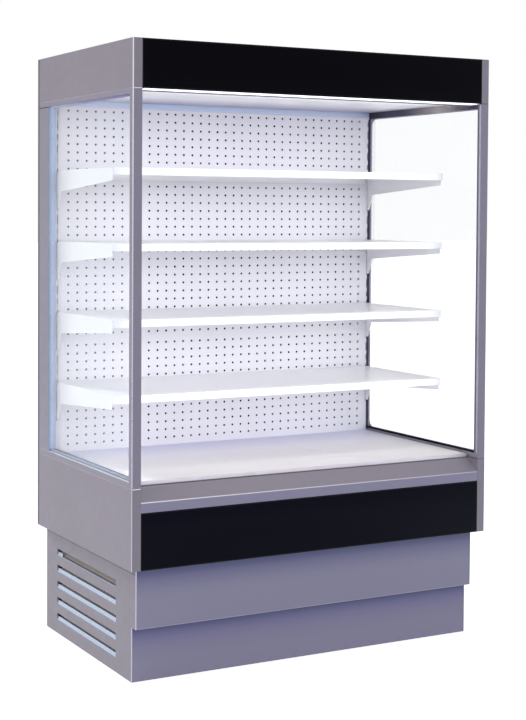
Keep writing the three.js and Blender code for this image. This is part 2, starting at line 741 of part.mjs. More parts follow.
function condenserShroud() {
  const halfWidth = CONDENSER_LENGTH / 2 + CONDENSER_SHROUD_MARGIN;
  const halfHeight = CONDENSER_HEIGHT / 2 + CONDENSER_SHROUD_MARGIN;
  const hole = disc(CONDENSER_FAN_RADIUS + 1, -CONDENSER_SHROUD_DEPTH - 1, SHEET + 1, FAN_HOLE_FACETS);
  const hood = cut(
    block(-halfWidth, halfWidth, -halfHeight, halfHeight, -CONDENSER_SHROUD_DEPTH, SHEET),
    block(
      -halfWidth + SHEET, halfWidth - SHEET, -halfHeight + SHEET, halfHeight - SHEET,
      -CONDENSER_SHROUD_DEPTH - 1, 0,
    ),
    hole,
  );
  return join(hood, fanCarrier(CONDENSER_FAN_RADIUS));
}

// ---------------------------------------------------------------- tub and evaporator

function tubFloorAt(depth) {
  const nearWall = TUB_SETBACK + TUB_WALL;
  const span = depth < DRAIN_DEPTH ? DRAIN_DEPTH - nearWall : REAR_WALL_FRONT - DRAIN_DEPTH;
  return TUB_FLOOR - TUB_FALL * (1 - Math.abs(depth - DRAIN_DEPTH) / span);
}

function tub() {
  const wall = TUB_SETBACK + TUB_WALL;
  const rear = REAR_WALL_FRONT - FIT_GAP;
  const points = [
    [back(TUB_SETBACK), END_BOTTOM],
    [back(rear), END_BOTTOM],
    [back(rear), TUB_FLOOR],
    [back(DRAIN_DEPTH), TUB_FLOOR - TUB_FALL],
    [back(wall), TUB_FLOOR],
    [back(wall), TUB_FRONT_TOP],
    [back(TUB_SETBACK), TUB_FRONT_TOP],
  ];
  const drain = disc(DRAIN_RADIUS, END_BOTTOM - 1, TUB_FLOOR, FOOT_FACETS)
    .translate(0, back(DRAIN_DEPTH), 0);
  return cut(prismX(outline(points), -BAY_X, BAY_X), drain);
}

const evaporatorFloor = Math.max(
  tubFloorAt(EVAPORATOR_START),
  tubFloorAt(EVAPORATOR_START + EVAPORATOR_DEPTH),
) + FIT_GAP;

const evaporatorFanHeight = (tubFloorAt(FAN_PLATE_DEPTH) + FAN_PLATE_TOP) / 2;

function evaporatorFanPlate() {
  const y = back(FAN_PLATE_DEPTH);
  const bottom = tubFloorAt(FAN_PLATE_DEPTH) + FIT_GAP;
  const carriers = SIDES.map(([, side]) => fanCarrier(EVAPORATOR_FAN_RADIUS)
    .rotateX(-Math.PI / 2)
    .translate(side * EVAPORATOR_FAN_OFFSET, y, evaporatorFanHeight));
  const holes = SIDES.map(([, side]) => disc(EVAPORATOR_FAN_RADIUS + 1, -SHEET, 2 * SHEET, FAN_HOLE_FACETS)
    .rotateX(-Math.PI / 2)
    .translate(side * EVAPORATOR_FAN_OFFSET, y, evaporatorFanHeight));
  const plate = block(-BAY_X, BAY_X, y, y + SHEET, bottom, FAN_PLATE_TOP);
  const flange = block(-BAY_X, BAY_X, y, y + KICK_FLANGE, FAN_PLATE_TOP - SHEET, FAN_PLATE_TOP);
  return join(cut(join(plate, flange), ...holes), ...carriers);
}

function returnGrille() {
  const y0 = back(BUMPER_CREST_END) + FIT_GAP;
  const y1 = back(FAN_PLATE_DEPTH) + KICK_FLANGE;
  const z0 = FAN_PLATE_TOP + FIT_GAP;
  const pitch = 2 * BAY_X / GRILLE_SLOTS;
  const slots = Array.from({ length: GRILLE_SLOTS }, (_, step) => {
    const x = -BAY_X + (step + 0.5) * pitch;
    const half = (pitch - GRILLE_MARGIN) / 2;
    const front = y0 + GRILLE_MARGIN + BUMPER_LEDGE;
    const rear = y1 - GRILLE_MARGIN - KICK_FLANGE;
    return block(x - half, x + half, front, rear, z0 - 1, z0 + GRILLE_THICKNESS + 1);
  });
  return cut(block(-BAY_X, BAY_X, y0, y1, z0, z0 + GRILLE_THICKNESS), ...slots);
}

// ---------------------------------------------------------------- front

// One extruded rail: upright face, sloping top, crest under the deck lip and a ledge for the grille.
function bumper() {
  const slope = (BUMPER_CREST - BUMPER_EDGE) / BUMPER_CREST_START;
  const drop = BUMPER_WALL * Math.hypot(1, slope);
  const ledgeTop = FAN_PLATE_TOP;
  const ledgeBottom = ledgeTop - BUMPER_WALL;
  const inner = BUMPER_CREST_END - BUMPER_WALL;
  const foot = TUB_SETBACK - FIT_GAP;
  const points = [
    [0, BUMPER_BOTTOM], [0, BUMPER_EDGE - BUMPER_NOSE], [BUMPER_NOSE, BUMPER_EDGE + BUMPER_NOSE * slope],
    [BUMPER_CREST_START, BUMPER_CREST], [BUMPER_CREST_END, BUMPER_CREST],
    [BUMPER_CREST_END, ledgeTop], [BUMPER_CREST_END + BUMPER_LEDGE, ledgeTop],
    [BUMPER_CREST_END + BUMPER_LEDGE, ledgeBottom], [inner, ledgeBottom],
    [inner, BUMPER_CREST - BUMPER_WALL], [BUMPER_CREST_START, BUMPER_CREST - drop],
    [BUMPER_WALL, BUMPER_EDGE + BUMPER_WALL * slope - drop],
    [BUMPER_WALL, BUMPER_BOTTOM + BUMPER_WALL], [foot, BUMPER_BOTTOM + BUMPER_WALL], [foot, BUMPER_BOTTOM],
  ];
  return prismX(outline(points.map(([depth, z]) => [back(depth), z])), -BAY_X, BAY_X);
}

function lowerFrontPanel() {
  const edge = FRONT_PANEL_EDGE;
  const z0 = END_BOTTOM;
  const z1 = BUMPER_BOTTOM - FIT_GAP;
  const rear = LOWER_PANEL_THICKNESS;
  const points = [[edge, z0], [rear, z0], [rear, z1], [edge, z1], [0, z1 - edge], [0, z0 + edge]];
  return prismX(outline(points.map(([depth, z]) => [back(depth), z])), -BAY_X, BAY_X);
}

// ---------------------------------------------------------------- end walls, drawn for the right

function endPlan() {
  const front = back(0);
  const rear = back(CASE_DEPTH);
  return outline([
    [INNER_X, front], [OUTER_X - END_CHAMFER, front], [OUTER_X, front + END_CHAMFER],
    [OUTER_X, rear - END_CHAMFER], [OUTER_X - END_CHAMFER, rear], [INNER_X, rear],
  ]);
}

function sideLower() {
  return prismZ(endPlan(), END_BOTTOM, GLAZING_BOTTOM - FIT_GAP);
}

function sideUpper() {
  return prismZ(endPlan(), GLAZING_TOP + FIT_GAP, CASE_HEIGHT);
}

function glazingOpening(growth) {
  return {
    y0: back(FRONT_POST_WIDTH) - growth,
    y1: back(CASE_DEPTH - REAR_POST_WIDTH) + growth,
    z0: GLAZING_BOTTOM + GLAZING_RAIL_HEIGHT - growth,
    z1: GLAZING_TOP - GLAZING_RAIL_HEIGHT + growth,
  };
}

const glassCentreX = (INNER_X + OUTER_X) / 2;

function glassBlock(growth, thickness) {
  const { y0, y1, z0, z1 } = glazingOpening(growth);
  return block(glassCentreX - thickness / 2, glassCentreX + thickness / 2, y0, y1, z0, z1);
}

function glazingFrame() {
  const opening = glassBlock(0, 2 * END_THICKNESS);
  const rebate = glassBlock(GLASS_REBATE, GLASS_THICKNESS + 2 * FIT_GAP);
  return cut(prismZ(endPlan(), GLAZING_BOTTOM, GLAZING_TOP), opening, rebate);
}

function sideGlass() {
  return glassBlock(GLASS_REBATE - FIT_GAP, GLASS_THICKNESS);
}

// ---------------------------------------------------------------- back wall

function rearWall() {
  const top = CASE_HEIGHT - ROOF_THICKNESS - FIT_GAP;
  return block(-BAY_X, BAY_X, back(REAR_WALL_FRONT), back(REAR_WALL_BACK), END_BOTTOM, top);
}

function backPanel(bottom, top) {
  const y = back(BACK_PANEL_DEPTH);
  const flangeX = INNER_X - UPRIGHT_WIDTH - FIT_GAP * 2;
  const sheet = block(-BACK_PANEL_HALF_WIDTH, BACK_PANEL_HALF_WIDTH, y, y + SHEET, bottom, top);
  const flanges = [bottom, top - SHEET].map((z) => (
    block(-flangeX, flangeX, y, y + BACK_PANEL_FLANGE, z, z + SHEET)
  ));
  return join(sheet, ...flanges);
}

const deckSeat = DECK_TOP - DECK_LIP - FIT_GAP;

function lowerBackPanel() {
  const y = back(BACK_PANEL_DEPTH);
  const bottom = deckSeat - SHEET;
  const half = BACK_PANEL_HALF_WIDTH;
  const ledge = block(-half, half, y - DECK_LEDGE, y + SHEET, bottom, deckSeat);
  const [top] = backPanelSeams();
  return join(backPanel(bottom, top - BACK_PANEL_SEAM_GAP / 2), ledge);
}

function backPanelSeams() {
  const upper = BACK_PANEL_TOP - BACK_PANEL_UPPER_HEIGHT;
  return [upper - BACK_PANEL_MIDDLE_HEIGHT, upper];
}

function shelfTops() {
  return Array.from({ length: SHELF_COUNT }, (_, step) => SHELF_TOP - step * SHELF_PITCH);
}

// Every long slot has a short one midway to the next, so a shelf can hang at each long slot.
function slotSpans() {
  const pitch = SHELF_PITCH / SLOTS_PER_SHELF;
  const spans = [];
  const first = SHELF_TOP - HOOK_DROP;
  const count = Math.floor((UPRIGHT_TOP - first) / pitch);
  const lowest = DECK_TOP + pitch;
  for (let z = first + count * pitch; z > lowest; z -= pitch) {
    const middle = z + LONG_SLOT / 2 - pitch / 2;
    spans.push([z, z + LONG_SLOT]);
    spans.push([middle - SHORT_SLOT / 2, middle + SHORT_SLOT / 2]);
  }
  return spans.filter(([, top]) => top < UPRIGHT_TOP - SHORT_SLOT);
}

const uprightFace = BACK_PANEL_DEPTH + SHEET + 2 * FIT_GAP;
const bracketX = INNER_X - BRACKET_INSET;

function uprightRight() {
  const x0 = BAY_X - UPRIGHT_WIDTH;
  const y0 = back(uprightFace);
  const y1 = back(REAR_WALL_FRONT) - FIT_GAP;
  const inner = UPRIGHT_WALL;
  const plan = outline([
    [x0, y0], [BAY_X, y0], [BAY_X, y1], [BAY_X - inner, y1], [BAY_X - inner, y0 + inner],
    [x0 + inner, y0 + inner], [x0 + inner, y1], [x0, y1],
  ]);
  const bottom = tubFloorAt(uprightFace) + TUB_FALL;
  const slots = slotSpans().map(([z0, z1]) => block(
    bracketX - SLOT_WIDTH / 2, bracketX + SLOT_WIDTH / 2, y0 - 1, y0 + inner + 1, z0, z1,
  ));
  return cut(prismZ(plan, bottom, UPRIGHT_TOP), ...slots);
}

// ---------------------------------------------------------------- shelves, drawn with the top at z = 0

function shelfPlate() {
  const y0 = back(SHELF_FRONT);
  const y1 = back(SHELF_BACK);
  const half = bracketX - BRACKET_THICKNESS / 2 - FIT_GAP;
  return prismX(outline([
    [y0, -SHELF_LIP], [y0, 0], [y1, 0], [y1, -SHELF_REAR_LIP], [y1 - SHEET, -SHELF_REAR_LIP],
    [y1 - SHEET, -SHEET], [y0 + SHEET, -SHEET], [y0 + SHEET, -SHELF_LIP],
  ]), -half, half);
}

function priceRail() {
  const y0 = back(PRICE_RAIL_FRONT);
  const y1 = back(SHELF_FRONT) - FIT_GAP;
  const half = bracketX + BRACKET_THICKNESS / 2;
  const low = -PRICE_RAIL_HEIGHT;
  const foot = y0 + PRICE_RAIL_FOOT;
  const lip = low + PRICE_RAIL_LIP;
  return prismX(outline([
    [y0, low + 1], [y0 + 1, low], [foot, low], [foot, lip], [foot - SHEET, lip],
    [foot - SHEET, low + SHEET], [y0 + SHEET, low + 2 * SHEET], [y0 + PRICE_RAIL_OVERHANG, -SHEET],
    [y1 - SHEET, -SHEET], [y1 - SHEET, low / 2], [y1, low / 2], [y1, 0], [y0 + 1, 0], [y0, -1],
  ]), -half, half);
}

// Side plate with its hooks through the upright: the upper hook carries, the lower tab locates.
function bracketOutline() {
  const face = uprightFace - FIT_GAP;
  const behind = uprightFace + UPRIGHT_WALL;
  const hookFront = behind + HOOK_REACH;
  const hookRear = hookFront + HOOK_REACH;
  const seat = FIT_GAP - HOOK_DROP;
  const tabTop = TAB_RISE - HOOK_DROP - SHELF_PITCH / SLOTS_PER_SHELF;
  const tabBottom = tabTop - TAB_HEIGHT;
  const tabRear = behind + TAB_REACH;
  const hookTop = seat + HOOK_HEIGHT;
  const shape = new THREE.Shape();
  const go = (depth, z) => shape.lineTo(back(depth), z);
  shape.moveTo(back(SHELF_FRONT), 0);
  go(SHELF_BACK, 0);
  go(face - HOOK_NECK, hookTop);
  go(hookRear - HOOK_CORNER, hookTop);
  go(hookRear, hookTop - HOOK_CORNER);
  go(hookRear, seat - HOOK_TAIL);
  go(hookFront, seat - HOOK_TAIL);
  go(hookFront, seat);
  go(face, seat);
  go(face, tabTop);
  go(tabRear, tabTop);
  go(tabRear, tabBottom);
  go(face, tabBottom);
  go(face, -BRACKET_TONGUE_DROP);
  go(face - BRACKET_TONGUE_WIDTH, -BRACKET_TONGUE_DROP);
  shape.quadraticCurveTo(
    back(SHELF_BACK - BRACKET_TONGUE_WIDTH), BRACKET_REAR_CURVE - BRACKET_TONGUE_DROP,
    back(SHELF_BACK - BRACKET_REAR_CORNER), -BRACKET_REAR_DROP,
  );
  go(SHELF_FRONT + BRACKET_FRONT_CORNER, -BRACKET_FRONT_DROP);
  shape.quadraticCurveTo(
    back(SHELF_FRONT), -BRACKET_FRONT_DROP,
    back(SHELF_FRONT), BRACKET_FRONT_CORNER - BRACKET_FRONT_DROP,
  );
  return shape;
}

function bracketRight() {
  const plate = prismX(bracketOutline(), bracketX - BRACKET_THICKNESS / 2, bracketX + BRACKET_THICKNESS / 2);
  const top = -SHEET - FIT_GAP;
  const flange = block(
    bracketX - BRACKET_FLANGE, bracketX,
    back(SHELF_FRONT) + 2 * SHEET, back(SHELF_BACK) - 2 * SHEET, top - BRACKET_THICKNESS, top,
  );
  return join(plate, flange);
}

// ---------------------------------------------------------------- deck

function deckPanel(x0, x1) {
  const y0 = back(DECK_FRONT);
  const y1 = back(DECK_BACK);
  const bottom = DECK_TOP - DECK_LIP;
  return cut(
    block(x0, x1, y0, y1, bottom, DECK_TOP),
    block(x0 + SHEET, x1 - SHEET, y0 + SHEET, y1 - SHEET, bottom - 1, DECK_TOP - SHEET),
  );
}

function deckSpan(position) {
  const width = (2 * DECK_HALF_WIDTH + DECK_SEAM) / DECK_PANELS.length;
  const x0 = -DECK_HALF_WIDTH + position * width;
  return [x0, x0 + width - DECK_SEAM];
}

// ---------------------------------------------------------------- canopy

function canopyRoof() {
  const front = back(TUB_SETBACK);
  const nose = front + ROOF_NOSE;
  const rear = back(REAR_WALL_BACK);
  const low = LAMP_TOP + FIT_GAP;
  const under = CASE_HEIGHT - ROOF_THICKNESS;
  return prismX(outline([
    [front, low], [nose, low], [nose, under], [rear, under], [rear, CASE_HEIGHT], [front, CASE_HEIGHT],
  ]), -BAY_X, BAY_X);
}

function fascia() {
  const low = GLAZING_TOP;
  const high = CASE_HEIGHT;
  const edge = FRONT_PANEL_EDGE;
  const lip = FASCIA_LIP;
  const points = [
    [edge, low], [FASCIA_RETURN, low], [FASCIA_RETURN, low + lip], [FASCIA_THICKNESS, low + lip],
    [FASCIA_THICKNESS, high - lip], [FASCIA_RETURN, high - lip], [FASCIA_RETURN, high], [edge, high],
    [0, high - edge], [0, low + edge],
  ];
  return prismX(outline(points.map(([depth, z]) => [back(depth), z])), -BAY_X, BAY_X);
}

function lamp() {
  const y0 = back(LAMP_START);
  const y1 = y0 + LAMP_WIDTH;
  const shoulder = LAMP_TOP - LAMP_HEIGHT + LAMP_SHOULDER;
  const pull = shoulder - LAMP_SHOULDER / LAMP_BULGE;
  const shape = new THREE.Shape();
  shape.moveTo(y0, LAMP_TOP);
  shape.lineTo(y0, shoulder);
  shape.bezierCurveTo(y0, pull, y1, pull, y1, shoulder);
  shape.lineTo(y1, LAMP_TOP);
  return prismX(shape, -BAY_X, BAY_X);
}

function airOutlet() {
  const y0 = back(OUTLET_START);
  const z0 = CEILING_HEIGHT - OUTLET_HEIGHT / 2;
  const z1 = z0 + OUTLET_HEIGHT;
  const cellX = (2 * BAY_X - OUTLET_WEB) / OUTLET_CELLS;
  const cellY = (OUTLET_WIDTH - OUTLET_WEB) / OUTLET_ROWS;
  const cells = [];
  for (let column = 0; column < OUTLET_CELLS; column += 1) {
    for (let row = 0; row < OUTLET_ROWS; row += 1) {
      const x = -BAY_X + OUTLET_WEB + column * cellX;
      const y = y0 + OUTLET_WEB + row * cellY;
      cells.push(block(x, x + cellX - OUTLET_WEB, y, y + cellY - OUTLET_WEB, z0 - 1, z1 + 1));
    }
  }
  return cut(block(-BAY_X, BAY_X, y0, y0 + OUTLET_WIDTH, z0, z1), ...cells);
}

function ceilingPanel() {
  const front = back(CEILING_START);
  const rear = back(BACK_PANEL_DEPTH) + SHEET;
  const top = CEILING_HEIGHT + SHEET;
  const lip = OUTLET_HEIGHT / 2;
  const drop = CEILING_HEIGHT - CEILING_DROP;
  return prismX(outline([
    [front, CEILING_HEIGHT], [rear - SHEET, CEILING_HEIGHT], [rear - SHEET, drop], [rear, drop],
    [rear, top], [front + SHEET, top], [front + SHEET, top + lip], [front, top + lip],
  ]), -BAY_X, BAY_X);
}

// ---------------------------------------------------------------- materials

const FINISHES = {
  sidePanel: { color: 0x9b949b, roughness: 0.45, metalness: 0.1 },
  post: { color: 0x857f8c, roughness: 0.4, metalness: 0.3 },
  kick: { color: 0x807d90, roughness: 0.45, metalness: 0.1 },
  black: { color: 0x15161a, roughness: 0.2, metalness: 0 },
  white: { color: 0xf0f1f5, roughness: 0.35, metalness: 0 },
  priceRail: { color: 0xf4f5f8, roughness: 0.3, metalness: 0 },
  diffuser: { color: 0xffffff, roughness: 0.5, metalness: 0 },
  glass: { color: 0xe8f2f6, roughness: 0.05, metalness: 0 },
  galvanised: { color: 0xa9adb3, roughness: 0.5, metalness: 0.8 },
  fins: { color: 0xc4c7cb, roughness: 0.4, metalness: 0.9 },
  motor: { color: 0x1c1d1f, roughness: 0.5, metalness: 0.2 },
  fanPlastic: { color: 0x2a2c30, roughness: 0.45, metalness: 0 },
  liner: { color: 0xe4e6ea, roughness: 0.5, metalness: 0 },
  rubber: { color: 0x202124, roughness: 0.9, metalness: 0 },
};

function piece(name, geometry, finish, place = [0, 0, 0], turn = [0, 0, 0]) {
  const mesh = new THREE.Mesh(geometry, new THREE.MeshStandardMaterial(FINISHES[finish]));
  mesh.name = name;
  mesh.position.set(...place);
  mesh.rotation.set(...turn);
  return mesh;
}

// ---------------------------------------------------------------- assembly

const QUARTER = Math.PI / 2;

function baseGroup() {
  const group = new THREE.Group();
  group.add(piece('base_frame', baseFrame(), 'galvanised'));
  for (const [name, x, y] of footPlaces()) {
    group.add(piece(name, foot(), 'rubber', [x, y, 0]));
  }
  const side = baseSideRight();
  group.add(piece('base_side_left', mirrorX(side), 'sidePanel'));
  group.add(piece('base_side_right', side, 'sidePanel'));
  group.add(piece('kick_panel_lower', kickPanel(LOWER_KICK_SETBACK, FLOOR_GAP, KICK_STEP), 'kick'));
  group.add(piece('kick_panel_upper', upperKickPanel(), 'kick'));
  group.add(piece('base_rear_cover', baseRearCover(), 'galvanised'));
  return group;
}

function condensingGroup() {
  const group = new THREE.Group();
  const floor = bearerTop + FIT_GAP;
  const y = back(CONDENSER_DEPTH_CENTRE);
  const middle = floor + CONDENSER_LIFT + CONDENSER_HEIGHT / 2;
  const coil = finnedCoil(
    CONDENSER_LENGTH, CONDENSER_THICKNESS, CONDENSER_HEIGHT, CONDENSER_FINS, CONDENSER_TUBES,
  );
  const shroudX = CONDENSER_X + CONDENSER_THICKNESS / 2 + CONDENSER_SHROUD_DEPTH + FIT_GAP;
  const rotor = fanRotor(CONDENSER_FAN_RADIUS - FAN_TIP_GAP, FAN_HUB_RADIUS, FAN_HUB_DEPTH);
  const compressorPlace = [COMPRESSOR_X, back(COMPRESSOR_DEPTH), floor];
  group.add(piece('compressor', compressor(), 'motor', compressorPlace));
  group.add(piece('condenser_coil', coil, 'fins', [CONDENSER_X, y, floor], [0, 0, QUARTER]));
  const shroud = condenserShroud().rotateZ(QUARTER).rotateY(QUARTER);
  group.add(piece('condenser_shroud', shroud, 'galvanised', [shroudX, y, middle]));
  const fan = rotor.rotateY(QUARTER);
  group.add(piece('condenser_fan', fan, 'fanPlastic', [shroudX + FAN_HUB_DEPTH / 2 - FIT_GAP, y, middle]));
  return group;
}

function evaporatorGroup() {
  const group = new THREE.Group();
  const coil = finnedCoil(
    EVAPORATOR_LENGTH, EVAPORATOR_DEPTH, EVAPORATOR_HEIGHT, EVAPORATOR_FINS, EVAPORATOR_TUBES,
  );
  const coilY = back(EVAPORATOR_START + EVAPORATOR_DEPTH / 2);
  group.add(piece('tub', tub(), 'liner'));
  group.add(piece('evaporator_coil', coil, 'fins', [0, coilY, evaporatorFloor]));
  group.add(piece('evaporator_fan_plate', evaporatorFanPlate(), 'liner'));
  for (const [name, side] of SIDES) {
    const rotor = fanRotor(EVAPORATOR_FAN_RADIUS - FAN_TIP_GAP, FAN_HUB_RADIUS, FAN_HUB_DEPTH);
    const y = back(FAN_PLATE_DEPTH) + FAN_HUB_DEPTH / 2 - FIT_GAP;
    const place = [side * EVAPORATOR_FAN_OFFSET, y, evaporatorFanHeight];
    group.add(piece(`evaporator_fan_${name}`, rotor.rotateX(-QUARTER), 'fanPlastic', place));
  }
  group.add(piece('return_grille', returnGrille(), 'white'));
  return group;
}

function frontGroup() {
  const group = new THREE.Group();
  group.add(piece('bumper', bumper(), 'post'));
  group.add(piece('lower_front_panel', lowerFrontPanel(), 'black'));
  return group;
}

function endGroup() {
  const group = new THREE.Group();
  const makers = [
    ['side_lower', sideLower, 'sidePanel'],
    ['side_upper', sideUpper, 'sidePanel'],
    ['glazing_frame', glazingFrame, 'post'],
    ['side_glass', sideGlass, 'glass'],
  ];
  for (const [name, make, finish] of makers) {
    const right = make();
    group.add(piece(`${name}_left`, mirrorX(mergeVertices(right)), finish));
    group.add(piece(`${name}_right`, right, finish));
  }
  return group;
}

function backGroup() {
  const group = new THREE.Group();
  const [low, high] = backPanelSeams();
  const half = BACK_PANEL_SEAM_GAP / 2;
  group.add(piece('rear_wall', rearWall(), 'liner'));
  group.add(piece('back_panel_lower', lowerBackPanel(), 'white'));
  group.add(piece('back_panel_middle', backPanel(low + half, high - half), 'white'));
  group.add(piece('back_panel_upper', backPanel(high + half, BACK_PANEL_TOP), 'white'));
  const upright = uprightRight();
  group.add(piece('upright_left', mirrorX(upright), 'white'));
  group.add(piece('upright_right', upright, 'white'));
  return group;
}

function shelfGroup() {
  const group = new THREE.Group();
  shelfTops().forEach((z, step) => {
    const shelf = new THREE.Group();
    const name = `shelf_${step + 1}`;
    const bracket = bracketRight();
    shelf.position.z = z;
    shelf.add(piece(`${name}_plate`, shelfPlate(), 'white'));
    shelf.add(piece(`${name}_price_rail`, priceRail(), 'priceRail'));
    shelf.add(piece(`${name}_bracket_left`, mirrorX(bracket), 'white'));
    shelf.add(piece(`${name}_bracket_right`, bracket, 'white'));
    group.add(shelf);
  });
  return group;
}

function deckGroup() {
  const group = new THREE.Group();
  DECK_PANELS.forEach((name, position) => {
    group.add(piece(`deck_${name}`, deckPanel(...deckSpan(position)), 'white'));
  });
  return group;
}

function canopyGroup() {
  const group = new THREE.Group();
  group.add(piece('canopy_roof', canopyRoof(), 'sidePanel'));
  group.add(piece('fascia', fascia(), 'black'));
  group.add(piece('ceiling_panel', ceilingPanel(), 'white'));
  group.add(piece('air_outlet', airOutlet(), 'white'));
  group.add(piece('lamp', lamp(), 'diffuser'));
  return group;
}

const fridge = new THREE.Group();
fridge.add(
  baseGroup(),
  condensingGroup(),
  evaporatorGroup(),
  frontGroup(),
  endGroup(),
  backGroup(),
  shelfGroup(),
  deckGroup(),
  canopyGroup(),
);

export default fridge;
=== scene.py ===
"""Looks of the open multideck display fridge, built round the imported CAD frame."""
import json
import math
from itertools import product

import bmesh
import bpy
from mathutils import Matrix, Vector


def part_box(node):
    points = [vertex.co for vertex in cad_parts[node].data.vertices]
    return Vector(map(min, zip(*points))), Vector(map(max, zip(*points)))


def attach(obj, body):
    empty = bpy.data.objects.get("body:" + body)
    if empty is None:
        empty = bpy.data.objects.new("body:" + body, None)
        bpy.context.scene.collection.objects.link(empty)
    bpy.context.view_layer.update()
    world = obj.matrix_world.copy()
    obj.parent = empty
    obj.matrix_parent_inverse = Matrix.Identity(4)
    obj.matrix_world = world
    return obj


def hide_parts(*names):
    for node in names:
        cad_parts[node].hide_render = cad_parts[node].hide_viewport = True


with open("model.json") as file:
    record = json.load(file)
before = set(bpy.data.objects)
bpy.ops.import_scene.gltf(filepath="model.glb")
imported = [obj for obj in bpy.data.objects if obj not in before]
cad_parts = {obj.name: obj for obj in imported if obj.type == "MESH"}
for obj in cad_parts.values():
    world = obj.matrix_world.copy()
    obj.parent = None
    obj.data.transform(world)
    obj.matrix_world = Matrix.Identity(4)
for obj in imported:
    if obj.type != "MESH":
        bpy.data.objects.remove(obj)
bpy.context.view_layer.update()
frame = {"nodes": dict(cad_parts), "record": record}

MM = 0.001
SIDES = (("left", -1), ("right", 1))


def in_scene(name, data):
    obj = bpy.data.objects.new(name, data)
    bpy.context.scene.collection.objects.link(obj)
    return obj


# --- camera

PICTURE = Vector((526, 720))
FOCAL_PX, CENTRE_PX = 1487.4, Vector((200.0, 264.9))
CAMERA_PLACE = (-2.5738, -4.4977, 1.4732)
YAW, PITCH, ROLL = (math.radians(a) for a in (27.44, -2.05, 0.29))


def place_camera():
    """The camera that was fitted to the photograph, its picture centre off the middle."""
    data = bpy.data.cameras.new("camera")
    data.lens = FOCAL_PX * data.sensor_width / PICTURE.y
    data.shift_x = (PICTURE.x / 2 - CENTRE_PX.x) / PICTURE.y
    data.shift_y = (CENTRE_PX.y - PICTURE.y / 2) / PICTURE.y
    data.clip_end = 200
    camera = in_scene("camera", data)
    camera.matrix_world = (Matrix.Translation(CAMERA_PLACE) @ Matrix.Rotation(-YAW, 4, "Z")
                           @ Matrix.Rotation(math.pi / 2 + PITCH, 4, "X") @ Matrix.Rotation(ROLL, 4, "Z"))
    bpy.context.scene.camera = camera


place_camera()


# --- materials

def tone(code, factor=1):
    """The linear colour of an sRGB hex code, made lighter or darker."""
    def linear(v):
        v /= 255
        return v / 12.92 if v <= 0.04045 else ((v + 0.055) / 1.055) ** 2.4
    return (*(min(1, linear(int(code[k:k + 2], 16)) * factor) for k in (0, 2, 4)), 1)


def add_node(tree, kind, *numbered, **named):
    """A shader node whose inputs are values or the outputs of other nodes."""
    made = tree.nodes.new("ShaderNode" + kind)
    for key, value in [*enumerate(numbered), *named.items()]:
        socket = made.inputs[key if isinstance(key, int) else key.replace("_", " ")]
        if isinstance(value, bpy.types.NodeSocket):
            tree.links.new(value, socket)
        else:
            socket.default_value = value
    return made


class Shader:
    """A node material with its coordinates in metres on the piece."""

    def __init__(self, metallic=0.0, specular=0.5):
        self.material = bpy.data.materials.new("finish")
        self.material.use_nodes = True
        self.tree = self.material.node_tree
        self.bsdf = self.tree.nodes["Principled BSDF"]
        self.bsdf.inputs["Metallic"].default_value = metallic
        self.bsdf.inputs["Specular IOR Level"].default_value = specular
        self.coordinates = self.node("TexCoord").outputs["Object"]

    def node(self, kind, *numbered, **named):
        return add_node(self.tree, kind, *numbered, **named)

    def link(self, out, name):
        self.tree.links.new(out, self.bsdf.inputs[name])

    def noise(self, scale, detail=2.0, stretch=(1, 1, 1), roughness=0.5):
        mapping = self.node("Mapping", Vector=self.coordinates, Scale=stretch)
        return self.node("TexNoise", Vector=mapping.outputs[0], Scale=scale, Detail=detail,
                         Roughness=roughness).outputs["Fac"]

    def spread(self, value, low, high, start=0.3, end=0.7):
        return self.node("MapRange", Value=value, From_Min=start, From_Max=end, To_Min=low,
                         To_Max=high).outputs["Result"]

    def ramp(self, value, *stops):
        """Colours along a value: each stop is its position and a linear colour."""
        made = self.node("ValToRGB", Fac=value)
        elements = made.color_ramp.elements
        while len(elements) < len(stops):
            elements.new(0.5)
        for element, (position, colour) in zip(elements, stops):
            element.position = position
            element.color = colour
        return made.outputs["Color"]

    def colour(self, value, first, second, start=0.3, end=0.7):
        self.link(self.ramp(value, (start, first), (end, second)), "Base Color")

    def rough(self, value, low, high, start=0.3, end=0.7):
        self.link(self.spread(value, low, high, start, end), "Roughness")

    def bump(self, *layers):
        """Each layer is (height, strength, distance in metres)."""
        normal = {}
        for height, strength, distance in layers:
            made = self.node("Bump", Strength=strength, Distance=distance, Height=height, **normal)
            normal = {"Normal": made.outputs["Normal"]}
        self.link(normal["Normal"], "Normal")


def powder(colour, roughness=0.42, orange_peel=0.10, variation=0.03, metallic=0.0):
    """Stoved powder paint: fine orange peel, faint drift of tone, slightly uneven gloss."""
    s = Shader(metallic)
    s.colour(s.noise(2.3, 3), tone(colour, 1 - variation), tone(colour, 1 + variation))
    s.rough(s.noise(38, 3), roughness - 0.05, roughness + 0.05)
    s.bump((s.noise(620, 2), orange_peel, 0.0003), (s.noise(1900, 1), orange_peel / 2, 0.0001))
    return s.material


def black_gloss(deep, dusty, specular):
    """Back-painted glass: deep black, a trace of dust, barely uneven gloss."""
    s = Shader(specular=specular)
    s.colour(s.noise(160, 6, roughness=0.7), tone(deep), tone(dusty), 0.4, 0.8)
    s.rough(s.noise(3, 2), 0.14, 0.18)
    s.bump((s.noise(3, 1), 0.02, 0.0002))
    return s.material


def rubber(colour):
    s = Shader(specular=0.2)
    s.colour(s.noise(60, 4), tone(colour), tone(colour, 1.5))
    s.rough(s.noise(200, 2), 0.7, 0.9)
    s.bump((s.noise(1500, 2), 0.2, 0.0002))
    return s.material


